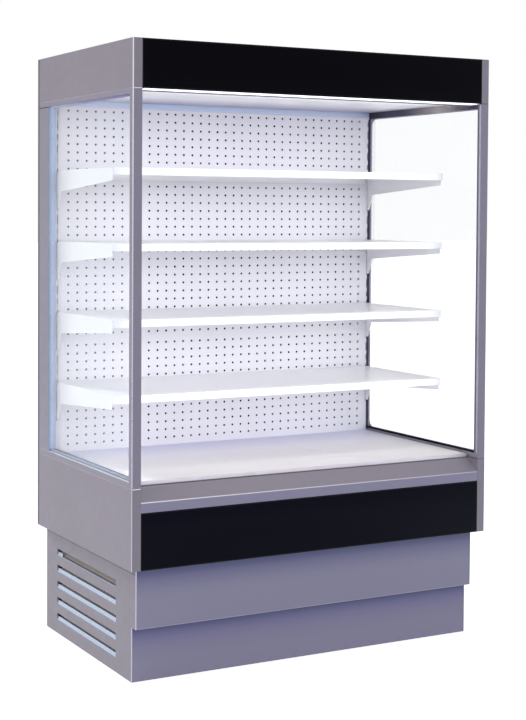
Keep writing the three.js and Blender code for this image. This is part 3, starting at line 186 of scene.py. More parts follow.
def galvanised():
    """Hot-dip zinc: a spangle of flat crystals with their own tone and gloss."""
    s = Shader(metallic=0.85)
    spangle = s.node("TexVoronoi", Vector=s.coordinates, Scale=70)
    crystal = s.node("SeparateColor", Color=spangle.outputs["Color"])
    s.colour(crystal.outputs["Red"], tone("a4a8ae"), tone("b3b7bc"), 0.0, 1.0)
    s.rough(crystal.outputs["Green"], 0.42, 0.5, 0.0, 1.0)
    s.bump((spangle.outputs["Distance"], 0.08, 0.0003), (s.noise(900, 2), 0.1, 0.0001))
    return s.material


def drawn(colour, along=(1, 1, 60), roughness=0.32, metallic=1.0):
    """Rolled or drawn metal with fine lines along one axis."""
    s = Shader(metallic)
    grain = s.noise(90, 4, along)
    s.colour(grain, tone(colour, 0.86), tone(colour, 1.08))
    s.rough(grain, roughness - 0.08, roughness + 0.1)
    s.bump((grain, 0.12, 0.0001))
    return s.material


def moulded(colour, roughness=0.45, texture=0.12):
    s = Shader()
    s.colour(s.noise(5, 3), tone(colour, 0.96), tone(colour, 1.04))
    s.rough(s.noise(120, 3), roughness - 0.06, roughness + 0.06)
    s.bump((s.noise(1400, 2), texture, 0.0002))
    return s.material


def light_and_shade_paint(axis, start, end, stops, roughness=0.4, metallic=0.0, specular=0.5):
    """Paint whose colour changes along one axis, between two places on it in metres, used for painted light and
    shade.
    """
    s = Shader(metallic, specular)
    place = s.node("SeparateXYZ", s.coordinates).outputs[axis]
    stops = [stop.split() for stop in stops.split(",")]
    stops = [(float(at), tone(code)) for at, code in stops]
    s.link(s.ramp(s.spread(place, 0, 1, start, end), *stops), "Base Color")
    s.rough(s.noise(38, 3), roughness - 0.05, roughness + 0.05)
    s.bump((s.noise(620, 2), 0.08, 0.0003))
    return s.material


def clear_glass():
    """Clear float glass that lets the lamps through."""
    s = Shader()
    for name, value in (("Transmission Weight", 1.0), ("IOR", 1.12), ("Roughness", 0.0)):
        s.bsdf.inputs[name].default_value = value
    s.colour(s.noise(0.8, 1), tone("ffffff"), tone("fdfeff"))
    clear = s.node("BsdfTransparent", Color=tone("fafcfd"))
    mix = s.node("MixShader", s.node("LightPath").outputs["Is Shadow Ray"], s.bsdf.outputs[0], clear.outputs[0])
    s.tree.links.new(mix.outputs[0], s.tree.nodes["Material Output"].inputs["Surface"])
    return s.material


def opal_light():
    """Opal lamp cover, lit from within, with the soft spots of its diode strip."""
    s = Shader()
    s.colour(s.noise(30, 2), tone("f8f9fc"), tone("fcfdff"))
    s.rough(s.noise(50, 2), 0.35, 0.5)
    wave = s.node("TexWave", Vector=s.coordinates, Scale=19)
    s.link(s.ramp(wave.outputs["Fac"], (0.0, tone("eef3ff")), (1.0, tone("fafcff"))), "Emission Color")
    s.bsdf.inputs["Emission Strength"].default_value = 1.15
    return s.material


M = {
    "side": powder("98909b"),
    "post": powder("9892a2", 0.38),
    # Bumper: painted light and shade: lavender on the front face, browner on the slope, and a dark painted shadow
    # along the top under the deck's front edge.
    "bumper": light_and_shade_paint("Z", 0.547, 0.6227, "0 9b98b1, 0.38 9b98b1, 0.43 9e96a1, 0.955 9e96a1, 0.975 605860", 0.36),
    # Bumper bead: painted highlight, lighter at its left end and darker towards the right.
    "bumper_bead": light_and_shade_paint("X", -0.64, 0.64, "0 e8e3e5, 1 bcb5c0", 0.3, metallic=1.0),
    # Top spacer: painted shade, dark navy at the front turning light blue towards the rear.
    "top_seal": light_and_shade_paint("Y", -0.37, 0.29, "0 706aa2, 0.5 8080b2, 1 b0bee0"),
    "kick": powder("9a97b1"),
    # Upper kick panel: painted shade, darker and bluer towards its top, under the black panel.
    "kick_panel_upper": light_and_shade_paint("Z", 0.176, 0.366,
        "0 9e9bb3, 0.5 9e9bb3, 0.62 9996b0, 0.72 8e8baa, 0.82 7b7b9d, 0.89 63668c, 0.95 585c82"),
    # Lower kick panel: painted shade, darker and bluer towards its top, under the step.
    "kick_panel_lower": light_and_shade_paint("Z", 0.003, 0.176,
        "0 a5a0b9, 0.33 a09db5, 0.57 9a96b1, 0.72 908baf, 0.8 8280a8, 0.87 72729b, 0.94 5e5e8a"),
    # Upper corner bead: painted highlight, lighter towards the top.
    "bead_upper": light_and_shade_paint("Z", 0.62, 1.9, "0 a8a5b6, 0.35 bab6c4, 1 e0dde3", 0.25, metallic=1.0),
    # Base sides: painted shadow, a dark band along the top under the overhanging end walls.
    "base": light_and_shade_paint("Z", 0.003, 0.366, "0 948c97, 0.84 948c97, 0.915 87808c, 0.938 87808c, 0.944 5c5864"),
    "white": powder("f3f3f8", 0.34, 0.06, 0.008),
    "shelf": powder("fdfcfe", 0.34, 0.04, 0.004),
    "panel": powder("ecebf1", 0.4, 0.06, 0.008),
    # Deck: painted shade, warm white at the front turning grey-blue towards the rear.
    "deck": light_and_shade_paint("Y", -0.341, 0.289, "0 fffbfa, 0.35 fffbfb, 0.66 faf7fd, 1 d8daf2", 0.5, specular=0.3),
    "rail": moulded("f6f7fb", 0.3, 0.03),
    "fascia": black_gloss("07070e", "090911", 0.03),
    "black": black_gloss("090a19", "0c0d1d", 0.045),
    "edge_black": rubber("09090c"),
    "gasket": rubber("0c0c0e"),
    "foot": rubber("18181a"),
    "zinc": galvanised(),
    "aluminium": drawn("c4c6ca"),
    "spacer": moulded("969cb2", 0.6, 0.08),
    # Painted light: pale blue for reveal and bead faces that are lit.
    "blue_lip": powder("c6d6f4", 0.3),
    "rear_edge": powder("625b65"),
    # Painted shade: dark navy for faces and gaps in shade on the right side.
    "painted_shade_navy": rubber("282848"),
    # Painted highlight: near-white metal on the outer band of the right rear reveal.
    "bright": drawn("fafafc", (40, 40, 1), 0.12),
    "shadow_paint": powder("686270"),
    # Ceiling: painted shade, white at the front darkening to grey-lavender at the rear.
    "ceiling_panel": light_and_shade_paint("Y", -0.278, 0.294, "0 fcfcfc, 0.5 faf9fc, 0.9 bab4ca, 1 a8a2be", 0.4),
    # Strip above the glass: painted shade, dark navy at both ends and lighter brown-grey between.
    "header_painted_shade": light_and_shade_paint("Y", -0.36, 0.29, "0 34304a, 0.16 645c68, 0.34 a69c9e, 0.62 4c465a, 1 2c2844"),
    "trim": drawn("e8e6e8", (40, 40, 1), 0.24),
    # Painted highlight: lighter paint for bevels, edges and joint lines that catch the light.
    "edge_paint": powder("c4c0d0", 0.25),
    # Painted highlight: pale metal for edges that catch the light.
    "edge_metal": drawn("b2aebc", (40, 40, 1), 0.34),
    # Louvre lips: painted light, pale blue for the lit lower part of each louvre.
    "lip": powder("d5e6ff", 0.3, 0.05),
    # Louvre blades and hoods: painted light, far paler than the base paint to lift them out of their shade.
    "blade": powder("ece2dc"),
    "dark_zinc": drawn("787a80", (1, 30, 30), 0.5, 0.7),
    "brass": drawn("cca860", (1, 20, 1), 0.3),
    "foam": rubber("161618"),
    "pvc": moulded("c6c8cc", 0.4, 0.04),
    "pvc_dark": moulded("343539", 0.5, 0.05),
    "pale_seal": powder("ccdcf2", 0.5),
    "clip": moulded("969098", 0.4),
    "blush": powder("ece4f0", 0.4),
    "deck_lip": powder("f4ecf3", 0.5, 0.01, 0.004, metallic=0.3),
    # Painted shade: near black for the shaded inside of the air channel behind the panels.
    "duct": rubber("0a0a0d"),
    "fins": drawn("c8cace", (1, 40, 1), 0.42),
    "copper": drawn("c4805c", (1, 1, 20), 0.3),
    "enamel": powder("1a1a1d", 0.3, 0.15, 0.1),
    "fan": moulded("26282c"),
    "liner": moulded("e4e6eb", 0.5),
    "plastic": moulded("eef0f5", 0.4),
    "glass": clear_glass(),
    "lamp": opal_light(),
}

for key, material in M.items():
    material.name = f"{key}_finish"

# Every material slot with its finishes, the first of them for the CAD nodes.
FINISHES = {
    "galvanised_steel": "zinc trim aluminium brass copper dark_zinc edge_metal bead_upper",
    "rubber": "foot gasket edge_black foam duct top_seal",
    "canopy_paint": "side",
    "side_paint": "side rear_edge",
    "post_paint": "post bumper_bead",
    "kick_paint": "kick base edge_paint lip blade",
    "white_paint": "white panel shelf deck_lip blue_lip pale_seal blush",
    "black_gloss": "black fascia",
    "glass": "glass",
    "lamp_diffuser": "lamp",
    "price_rail_plastic": "rail",
    "white_plastic": "plastic pvc clip spacer",
    "fan_plastic": "fan pvc_dark",
    "compressor_paint": "enamel",
    "fin_aluminium": "fins",
    "foam_liner": "liner",
}
FINISH_OF_SLOT = {slot: names.split()[0] for slot, names in FINISHES.items()}


# --- CAD nodes

def soften(obj, width, edge=None):
    """Rounds the hard edges of a CAD node with modifiers, its own mesh unchanged. An edge finish paints a
    highlight on the bevels.
    """
    weld = obj.modifiers.new("weld", "WELD")
    weld.merge_threshold = 1e-5
    flat = obj.modifiers.new("flat", "DECIMATE")
    flat.decimate_type = "DISSOLVE"
    flat.angle_limit = math.radians(1)
    bevel = obj.modifiers.new("bevel", "BEVEL")
    bevel.width = width * MM
    bevel.segments = 2
    bevel.limit_method = "ANGLE"
    bevel.angle_limit = math.radians(30)
    bevel.use_clamp_overlap = True
    bevel.harden_normals = True
    if edge:
        obj.data.materials.append(M[edge])
        bevel.material = 1


def dress_nodes():
    slots = {part["node"]: part["material_slot"] for part in frame["record"]["subparts"]}
    for name, obj in frame["nodes"].items():
        finish = FINISH_OF_SLOT[slots[name]]
        # Deck panels get painted shade towards the rear.
        if name.startswith("deck_"):
            finish = "deck"
        # Base sides get painted shadow under the end walls.
        if name.startswith("base_side_"):
            finish = "base"
        if name.startswith("shelf_") and finish == "white":
            finish = "shelf"
        # Nodes named in M, among them the bumper, the kick panels and the ceiling panel, take their finishes with
        # painted light and shade.
        if name in M:
            finish = name
        obj.data.materials.clear()
        obj.data.materials.append(M[finish])
    for names, width, edge in SOFTENED:
        for name in names:
            soften(frame["nodes"][name], width, edge)


def both_sides(*names):
    return [f"{name}_{side}" for name in names for side, _ in SIDES]


SHELVES = range(1, 5)
SOFTENED = (
    # The base sides get a painted highlight on their bevels.
    (both_sides("base_side"), 0.5, "edge_paint"),
    (["kick_panel_lower", "kick_panel_upper"], 0.8, None),
    (["bumper"], 0.6, None),
    (["deck_left", "deck_middle", "deck_right"], 0.8, None),
    ([f"shelf_{k}_plate" for k in SHELVES], 0.7, None),
    (both_sides(*(f"shelf_{k}_bracket" for k in SHELVES)), 0.5, None),
    (["ceiling_panel", "rear_wall", "tub"], 1.0, None),
)

dress_nodes()


# --- mesh helpers

def extent(node):
    """The low and high corner of a node's box, in millimetres."""
    return [Vector(corner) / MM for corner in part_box(node)]


def arc(u, v, radius, start, end, steps=6):
    turns = [math.radians(start + (end - start) * k / steps) for k in range(steps + 1)]
    return [(u + radius * math.cos(a), v + radius * math.sin(a)) for a in turns]


def border(a0, a1, b0, b1, side, end):
    """Four bars inside a rectangle's edge: the two ends at full width, then the two sides between them."""
    return ((a0, a1, b0, b0 + end), (a0, a1, b1 - end, b1),
            (a0, a0 + side, b0 + end, b1 - end), (a1 - side, a1, b0 + end, b1 - end))


def on_axis(axis, u, v, w):
    """A point w along the axis, with u and v across it."""
    return Vector({"x": (w, u, v), "y": (u, w, v), "z": (u, v, w)}[axis])


def bent(points, bend, steps=6):
    """A polyline with its corners turned into bends."""
    path = [Vector(points[0])]
    for before, corner, after in zip(points, points[1:], points[2:]):
        corner = Vector(corner)
        back, ahead = Vector(before) - corner, Vector(after) - corner
        reach = min(bend, back.length * 0.49, ahead.length * 0.49)
        start, end = corner + back.normalized() * reach, corner + ahead.normalized() * reach
        for k in range(steps + 1):
            t = k / steps
            path.append(start * (1 - t) ** 2 + corner * 2 * t * (1 - t) + end * t * t)
    path.append(Vector(points[-1]))
    return path


class Solids:
    """A piece under construction: solids in millimetres, mirrored in x while sign is -1."""

    def __init__(self, sign=1):
        self.bm = bmesh.new()
        self.sign = sign
        self.shared = {}

    def face(self, *points):
        """A face whose corners are shared with the faces beside it."""
        corners = []
        for point in points:
            key = tuple(round(c, 3) for c in point)
            if key not in self.shared:
                self.shared[key] = self.bm.verts.new(Vector(point) * MM)
            corners.append(self.shared[key])
        self.bm.faces.new(corners)

    def box(self, x0, x1, y0, y1, z0, z1, bevel=0.0, segments=2):
        """A box with all its edges rounded."""
        if self.sign < 0:
            x0, x1 = -x1, -x0
        made = bmesh.ops.create_cube(self.bm, size=1)["verts"]
        for vert in made:
            vert.co = Vector((
                (x0 + x1) / 2 + vert.co.x * (x1 - x0),
                (y0 + y1) / 2 + vert.co.y * (y1 - y0),
                (z0 + z1) / 2 + vert.co.z * (z1 - z0),
            )) * MM
        if bevel:
            edges = list({edge for vert in made for edge in vert.link_edges})
            bmesh.ops.bevel(self.bm, geom=edges, offset=bevel * MM, segments=segments, profile=0.5, affect="EDGES")
        return self

    def skin(self, rings):
        """A closed tube through rings of points in metres."""
        rings = [[self.bm.verts.new(point) for point in ring] for ring in rings]
        self.bm.faces.new(rings[0][::-1])
        self.bm.faces.new(rings[-1])
        for a, b in zip(rings, rings[1:]):
            for k in range(len(a)):
                n = (k + 1) % len(a)
                self.bm.faces.new((a[k], a[n], b[n], b[k]))
        return self

    def prism(self, axis, points, start, end):
        """A bar: an outline drawn across the axis and carried along it."""
        mirror = 1 if axis == "x" else self.sign
        return self.skin([[on_axis(axis, mirror * u, v, w) * MM for u, v in points] for w in (start, end)])

    def hexagon(self, centre, radius, z0, z1):
        return self.prism("z", arc(*centre, radius, 0, 300, 5), z0, z1)

    def turned(self, centre, axis, profile, sides=24, outward=1):
        """A turned body: its profile is (radius, distance along the axis) from its centre."""
        rings = []
        for radius, along in profile:
            turns = [2 * math.pi * k / sides for k in range(sides if radius else 1)]
            rings.append([self.bm.verts.new(
                (Vector(centre) + on_axis(axis, radius * math.cos(a), radius * math.sin(a), along * outward)) * MM)
                for a in turns])
        for a, b in zip(rings, rings[1:]):
            for k in range(sides):
                n = k + 1
                corners = (a[k % len(a)], a[n % len(a)], b[n % len(b)], b[k % len(b)])
                self.bm.faces.new(list(dict.fromkeys(corners)))
        return self

    def pipe(self, points, radius, bend=20, sides=12):
        path = bent(points, bend)
        normal = (path[1] - path[0]).orthogonal().normalized()
        turns = [2 * math.pi * j / sides for j in range(sides)]
        rings = []
        for k, point in enumerate(path):
            ahead = (path[min(k + 1, len(path) - 1)] - path[max(k - 1, 0)]).normalized()
            normal = (normal - ahead * normal.dot(ahead)).normalized()
            across = ahead.cross(normal)
            rings.append([(point + (normal * math.cos(a) + across * math.sin(a)) * radius) * MM for a in turns])
        return self.skin(rings)

    def screw(self, centre, axis, outward, radius=4.0, height=2.0):
        """A button head with a round socket."""
        profile = ((0, 0), (1, 0), (1, 0.35), (0.85, 0.75), (0.55, 1), (0.4, 1), (0.4, 0.3), (0, 0.3))
        return self.turned(centre, axis, [(radius * u, height * v) for u, v in profile], 14, outward)

    def piece(self, name, finish, body="cabinet", slot=None, smooth=40, replaces=None):
        """Makes the piece, smooth up to an angle in degrees, that rides on its body."""
        bmesh.ops.recalc_face_normals(self.bm, faces=self.bm.faces)
        mesh = bpy.data.meshes.new(name)
        self.bm.to_mesh(mesh)
        self.bm.free()
        mesh.materials.append(M[finish])
        if smooth:
            mesh.shade_smooth()
            mesh.set_sharp_from_angle(angle=math.radians(smooth))
        obj = in_scene(name, mesh)
        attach(obj, body)
        if replaces:
            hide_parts(replaces)


# --- perforated back panels

HOLES_ACROSS, HOLE_SIDES = 36, 12
HOLE_PITCH_X, HOLE_PITCH_Z = 34.21, 28.7
HOLE_RADIUS, HOLE_RIM, HOLE_DISH = 4.0, 5.6, 0.5
SHEET_Y, SHEET_HALF, SHEET_THICKNESS = 292.0, 634.0, 1.5
FLANGE_REACH, FLANGE_HALF = 12.0, 604.9


def ring(cx, cz, radius):
    turns = [2 * math.pi * k / HOLE_SIDES - 3 * math.pi / 4 for k in range(HOLE_SIDES)]
    return [(cx + radius * math.cos(a), cz + radius * math.sin(a)) for a in turns]


def cell_edge(cx, low, high):
    """Twelve points round a cell, three to a side, starting at its lower left corner."""
    hx = HOLE_PITCH_X / 2
    corners = [(cx - hx, low), (cx + hx, low), (cx + hx, high), (cx - hx, high)]
    return [(ax + (bx - ax) * t / 3, az + (bz - az) * t / 3)
            for (ax, az), (bx, bz) in zip(corners, corners[1:] + corners[:1]) for t in range(3)]


def perforated_sheet(m, z0, z1, first_row, rows):
    """A sheet with rows of dished round holes."""
    def face(*points):
        m.face(*((x, SHEET_Y + depth, z) for x, z, depth in points))

    def strip(outer, inner, depth_a, depth_b):
        for k in range(HOLE_SIDES):
            n = (k + 1) % HOLE_SIDES
            face((*outer[k], depth_a), (*outer[n], depth_a), (*inner[n], depth_b), (*inner[k], depth_b))

    half, back = HOLE_PITCH_Z / 2, SHEET_THICKNESS
    columns = [(k - (HOLES_ACROSS - 1) / 2) * HOLE_PITCH_X for k in range(HOLES_ACROSS)]
    levels = [first_row + k * HOLE_PITCH_Z for k in range(rows)]
    for cx in columns:
        for cz in levels:
            edge = cell_edge(cx, max(cz - half, z0 + 1), cz + half)
            rim, hole = ring(cx, cz, HOLE_RIM), ring(cx, cz, HOLE_RADIUS)
            strip(edge, rim, 0, 0)
            strip(rim, hole, 0, HOLE_DISH)
            strip(hole, hole, HOLE_DISH, back)
            strip(hole, edge, back, back)
    left = columns[0] - HOLE_PITCH_X / 2
    seams = [max(levels[0] - half, z0 + 1), *(z + half for z in levels)]
    x_steps = [left + k * HOLE_PITCH_X / 3 for k in range(HOLES_ACROSS * 3 + 1)]
    z_steps = [a + (b - a) * t / 3 for a, b in zip(seams, seams[1:]) for t in range(3)] + seams[-1:]
    x_all, z_all = [-SHEET_HALF, *x_steps, SHEET_HALF], [z0, *z_steps, z1]
    for depth in (0, back):
        for edge, end in ((z_steps[0], z0), (z_steps[-1], z1)):
            for a, b in zip(x_all, x_all[1:]):
                face((a, edge, depth), (b, edge, depth), (b, end, depth), (a, end, depth))
        for edge, end in ((x_steps[0], -SHEET_HALF), (x_steps[-1], SHEET_HALF)):
            for a, b in zip(z_steps, z_steps[1:]):
                face((edge, a, depth), (edge, b, depth), (end, b, depth), (end, a, depth))
    for z in (z0, z1):
        for a, b in zip(x_all, x_all[1:]):
            face((a, z, 0), (b, z, 0), (b, z, back), (a, z, back))
    for x in (-SHEET_HALF, SHEET_HALF):
        for a, b in zip(z_all, z_all[1:]):
            face((x, a, 0), (x, b, 0), (x, b, back), (x, a, back))


def perforated_panels():
    """The three panels, with flanges folded back, and the joint strips behind their seams."""
    for name, first_row, rows, z0, z1 in (
            ("lower", 1005.0 - 12 * 28.68, 13, 621.2, 1024.85),
            ("middle", 1418.6 - 13 * HOLE_PITCH_Z, 14, 1025.15, 1437.85),
            ("upper", 1820.2 - 13 * HOLE_PITCH_Z, 14, 1438.15, 1831.0)):
        m = Solids()
        perforated_sheet(m, z0, z1, first_row, rows)
        for z in (z0, z1 - SHEET_THICKNESS):
            m.box(-FLANGE_HALF, FLANGE_HALF, SHEET_Y + SHEET_THICKNESS, SHEET_Y + FLANGE_REACH,
                  z, z + SHEET_THICKNESS, 0.3, 1)
        if name == "lower":
            m.box(-SHEET_HALF, SHEET_HALF, 265, SHEET_Y - 0.05, z0, z0 + SHEET_THICKNESS, 0.3, 1)
        m.piece(f"perforated_panel_{name}", "panel", smooth=None, replaces=f"back_panel_{name}")
    m = Solids()
    for z in (1025, 1438):
        m.box(-604, 604, 293.8, 294.6, z - 1.2, z + 1.2, 0.2, 1)
    m.piece("panel_seam_strips", "panel")


perforated_panels()


# --- end walls

FRONT, BACK = -395.0, 395.0
INNER, OUTER = 643.5, 675.0
LIP_INNER, LIP_OUTER = 647.0, 671.6
EDGE_X, EDGE_Y = 674.2, 378.0
OPEN_FRONT, OPEN_REAR, OPEN_LOW, OPEN_HIGH = -373.0, 292.0, 641.0, 1831.0
JOINT_HEIGHTS = (621.85, 1848.15)
FRONT_CORNER = [(INNER, FRONT), (LIP_OUTER, FRONT), (LIP_OUTER, -391.6), (OUTER, -391.6)]
REAR_CORNER = [(OUTER, EDGE_Y), (EDGE_X, EDGE_Y), (EDGE_X, 394.9), (INNER, 394.9)]
EDGE_STRIP = [(674.3, 378.2), (OUTER, 378.2), (OUTER, 393.5), (673.6, BACK), (660, BACK), (660, 394.95),
              (674.3, 394.95)]
PANE_INNER, PANE_OUTER, PANE = 647.3, 671.3, 4.0
GASKET_REACH = 7.5


def bars(sign, rows, bevel=0.3):
    """Bars on an end wall, each by its distances from the middle, y and z."""
    m = Solids(sign)
    for row in rows:
        m.box(*row, bevel)
    return m


def end_walls():
    """The solid end panels, the strip on their rear edge, the corner beads with a painted highlight, and strips at
    the joints that are painted highlight and shade.
    """
    for side, sign in SIDES:
        for level, z0, z1 in (("lower", 368.3, 620.7), ("upper", 1849.3, 2000)):
            m = Solids(sign).prism("z", FRONT_CORNER + REAR_CORNER, z0, z1)
            m.piece(f"end_panel_{level}_{side}", "side", replaces=f"side_{level}_{side}")
        Solids(sign).prism("z", EDGE_STRIP, 368.6, 1999.7).piece(f"rear_edge_strip_{side}", "rear_edge")
        # Corner beads: pale metal on the front corners as a painted highlight, the upper one lighter towards the
        # top.
        for level, z0, z1, radius, finish in (
                ("lower", 368.6, 620.9, 2.4, "edge_metal"), ("upper", 621.1, 1999.7, 2.95, "bead_upper")):
            bead = [*arc(674.85 - radius, FRONT + 0.15 + radius, radius, 270, 360), (671.7, FRONT + 3.3)]
            Solids(sign).prism("z", bead, z0, z1).piece(f"corner_bead_{level}_{side}", finish)
        # Joint lines on the front: a painted highlight on the left, painted shade on the right.
        m = bars(sign, [(INNER + 1, 671.5, FRONT + 0.35, FRONT + 3, z - 1.1, z + 1.1) for z in JOINT_HEIGHTS])
        m.piece(f"joint_strips_front_{side}", "trim" if sign < 0 else "shadow_paint", slot="galvanised_steel")
        # Joint lines on the side faces: a painted highlight.
        m = bars(sign, [(671, OUTER - 0.35, FRONT + 4, BACK - 12, z - 1.1, z + 1.1) for z in JOINT_HEIGHTS])
        m.piece(f"joint_strips_side_{side}", "edge_paint", slot="side_paint")


def glazing_frames():
    """A front post over the full height, a rear post and two rails that are channels for the glass."""
    front_post = [*FRONT_CORNER, (OUTER, OPEN_FRONT), (LIP_OUTER, OPEN_FRONT), (LIP_OUTER, -383),
                  (LIP_INNER, -383), (LIP_INNER, OPEN_FRONT), (INNER, OPEN_FRONT)]
    rear_post = [(OUTER, OPEN_REAR), *REAR_CORNER, (INNER, OPEN_REAR)]
    rail = [(INNER, OPEN_FRONT + 0.1), (OUTER, OPEN_FRONT + 0.1), *REAR_CORNER]
    bead = [(674.8, 641.1), (674.8, 642.6), *arc(673.2, 642.9, 1.6, 0, 90, 4), (671.8, 644.5), (671.8, 641.1)]
    cover = 643.22, 643.45
    # Rear reveals: painted light blue on the left; on the right, bands of painted shade, plain paint and a painted
    # highlight.
    reveals = {"left": (("inner", 643.7, 668, "blue_lip"), ("outer", 668.1, 674.7, "blue_lip")),
               "right": (("dark", 643.7, 649.4, "painted_shade_navy"), ("paint", 649.5, 657, "post"),
                         ("bright", 657.1, 674.7, "bright"))}
    for side, sign in SIDES:
        m = Solids(sign)
        for z0, z1, lip0, lip1 in ((623.1, 631, 631, OPEN_LOW), (1839, 1846.9, OPEN_HIGH, 1839)):
            m.prism("z", rail, z0, z1)
            for inner, outer in ((INNER, LIP_INNER), (LIP_OUTER, OUTER)):
                m.box(inner, outer, OPEN_FRONT + 0.1, EDGE_Y, lip0, lip1)
            m.box(INNER, EDGE_X, EDGE_Y, 394.9, lip0, lip1)
        m.piece(f"glazing_rails_{side}", "post", replaces=f"glazing_frame_{side}")
        m = Solids(sign).prism("z", front_post, 623.1, 1846.9)
        m.prism("z", rear_post, OPEN_LOW + 2.6, OPEN_HIGH - 2.4)
        m.piece(f"glazing_posts_{side}", "post")
        # Strips on the posts: a painted highlight at the rear post's foot and on the front post, painted shade
        # behind it and along the top of the opening.
        strips = [
            ("post_foot", "edge_paint", 0.3, (660, 674.7, OPEN_REAR + 1, 377.5, OPEN_LOW + 0.1, OPEN_LOW + 2.5)),
            ("post_cover_rear", "shadow_paint", 0, (*cover, -383, -374, OPEN_LOW, 1846)),
            ("post_cover_front", "edge_paint", 0, (*cover, -391.5, -383.2, OPEN_LOW, 1846)),
            ("header_strip", "header_painted_shade", 0, (*cover, -373.9, 290, OPEN_HIGH + 0.3, 1861.5)),
            *((f"reveal_{name}", finish, 0.3, (inner, outer, 291.2, 291.9, OPEN_LOW + 0.5, OPEN_HIGH - 0.4))
              for name, inner, outer, finish in reveals[side])]
        for name, finish, bevel, row in strips:
            bars(sign, [row], bevel).piece(f"{name}_{side}", finish, slot="post_paint")
        # Sill beads: a white painted highlight along the front part, painted light blue at the rear.
        for name, start, end, finish in (
                ("front", OPEN_FRONT + 0.2, 231, "white"), ("rear", 231.2, 291, "blue_lip")):
            Solids(sign).prism("y", bead, start, end).piece(f"glass_sill_bead_{name}_{side}", finish)
    # A dark navy strip of painted shade in front of the right upright.
    bars(1, [(640.4, 643.2, 292.4, 293.9, 634.5, 1829)]).piece("upright_gap_right", "painted_shade_navy", slot="rubber")


def glazing():
    """Two panes with their spacers, and the gasket along the sill."""
    y1, hidden = 291, 5
    inner, outer = PANE_INNER + PANE + 0.1, PANE_OUTER - PANE - 0.1
    for side, sign in SIDES:
        panes = [(x, x + PANE, -382.7, y1, 631.3, 1838.7) for x in (PANE_INNER, PANE_OUTER - PANE)]
        bars(sign, panes, 0.6).piece(f"glass_panes_{side}", "glass", smooth=None, replaces=f"side_glass_{side}")
        reach, top_reach, front_reach = (8, 5, 4) if sign < 0 else (-1, -1, -1)
        low, high, y0 = OPEN_LOW + reach, OPEN_HIGH - top_reach, OPEN_FRONT - hidden
        for name, finish, rows in (
                ("glass_spacer", "spacer", [(inner, outer, y0, y1, OPEN_LOW - hidden, low),
                                            (inner, outer, y0, OPEN_FRONT + front_reach, low, high)]),
                # The top spacer carries painted shade, darker towards the front.
                ("glass_spacer_top", "top_seal", [(inner, outer, y0, y1, high, OPEN_HIGH + hidden)]),
                ("glass_gasket", "gasket", [(643.6, 647.2, OPEN_FRONT + 0.1, y1, OPEN_LOW + 0.1,
                                             OPEN_LOW + GASKET_REACH)])):
            bars(sign, rows, 0.5).piece(f"{name}_{side}", finish)


end_walls()
glazing_frames()
glazing()


# --- black glass fronts

def glass_front(name, node, finish, y1, z0, z1):
    """A back-painted panel in a rubber edging that stands a little proud of it."""
    x, y0, rim = 643.2, FRONT, 4.5
    m = Solids().box(-x + rim * 0.6, x - rim * 0.6, y0 + 0.5, y1 - 0.4, z0 + rim * 0.6, z1 - rim * 0.6, 0.6, 3)
    m.piece(f"{name}_glass", finish, replaces=node)
    m = Solids()
    for a, b, low, high in border(-x, x, z0, z1, rim, rim):
        m.box(a, b, y0, y1, low, high, 0.6)
    m.piece(f"{name}_edging", "edge_black")


def bumper_trim():
    """The bright bead along the bumper's nose, with a painted highlight that is lighter at its left end."""
    nose = [*arc(FRONT + 2.2, 577.4, 2.2, 110, 200), (FRONT + 3, 577)]
    Solids().prism("x", nose, -642.5, 642.5).piece("bumper_bead", "bumper_bead")


bumper_trim()
glass_front("fascia", "fascia", "fascia", -387.5, 1848.2, 2000)
glass_front("lower_panel", "lower_front_panel", "black", -389, 368.3, 546.7)


# --- canopy underside

def rounded_sill(low, high, inset, radius, top):
    """An outline across x with its two lower corners rounded."""
    y0, y1, z = low.y + inset, high.y - inset, low.z + radius
    rear, front = arc(y1 - radius, z, radius, 270, 360, 5), arc(y0 + radius, z, radius, 180, 270, 5)
    return [(y0, top), *front, *rear, (y1, top)]


def lamp():
    """The opal cover, its carrier and its two end caps."""
    low, high = extent("lamp")
    m = Solids().prism("x", rounded_sill(low, high, 0.5, 5, high.z - 3), low.x + 9, high.x - 9)
    m.piece("lamp_cover", "lamp", replaces="lamp")
    m = Solids().box(low.x + 6, high.x - 6, low.y + 1.5, high.y - 1.5, high.z - 3, high.z, 0.4)
    m.piece("lamp_carrier", "aluminium")
    m = Solids()
    for x0, x1 in ((low.x, low.x + 9), (high.x - 9, high.x)):
        m.prism("x", rounded_sill(low, high, 0, 5, high.z), x0, x1)
    m.piece("lamp_end_caps", "plastic")


def honeycomb(m, x0, x1, y0, y1, z0, z1, pitch, wall):
    """A block of upright six-sided cells, each open from top to bottom."""
    side = pitch / math.sqrt(3)
    turns = [math.radians(30 + 60 * k) for k in range(6)]
    rows = int((y1 - y0 - side * 0.5) / (side * 1.5))
    count = int((x1 - x0) / pitch) - 1
    borders = {}
    for row in range(rows):
        cy = (y0 + y1) / 2 + (row - (rows - 1) / 2) * side * 1.5
        for k in range(count):
            cx = (x0 + x1) / 2 + (k - (count - 1) / 2) * pitch + (row % 2) * pitch / 2
            outer, inner = ([(cx + reach * math.cos(a), cy + reach * math.sin(a)) for a in turns]
                            for reach in (side, side - wall))
            for j in range(6):
                n = (j + 1) % 6
                for z in (z0, z1):
                    m.face((*outer[j], z), (*outer[n], z), (*inner[n], z), (*inner[j], z))
                m.face((*inner[j], z0), (*inner[n], z0), (*inner[n], z1), (*inner[j], z1))
                ends = [tuple(round(c, 3) for c in outer[i]) for i in (j, n)]
                borders.setdefault(tuple(sorted(ends)), []).append((outer[j], outer[n]))
    for uses in borders.values():
        if len(uses) == 1:
            a, b = uses[0]
            m.face((*a, z0), (*b, z0), (*b, z1), (*a, z1))


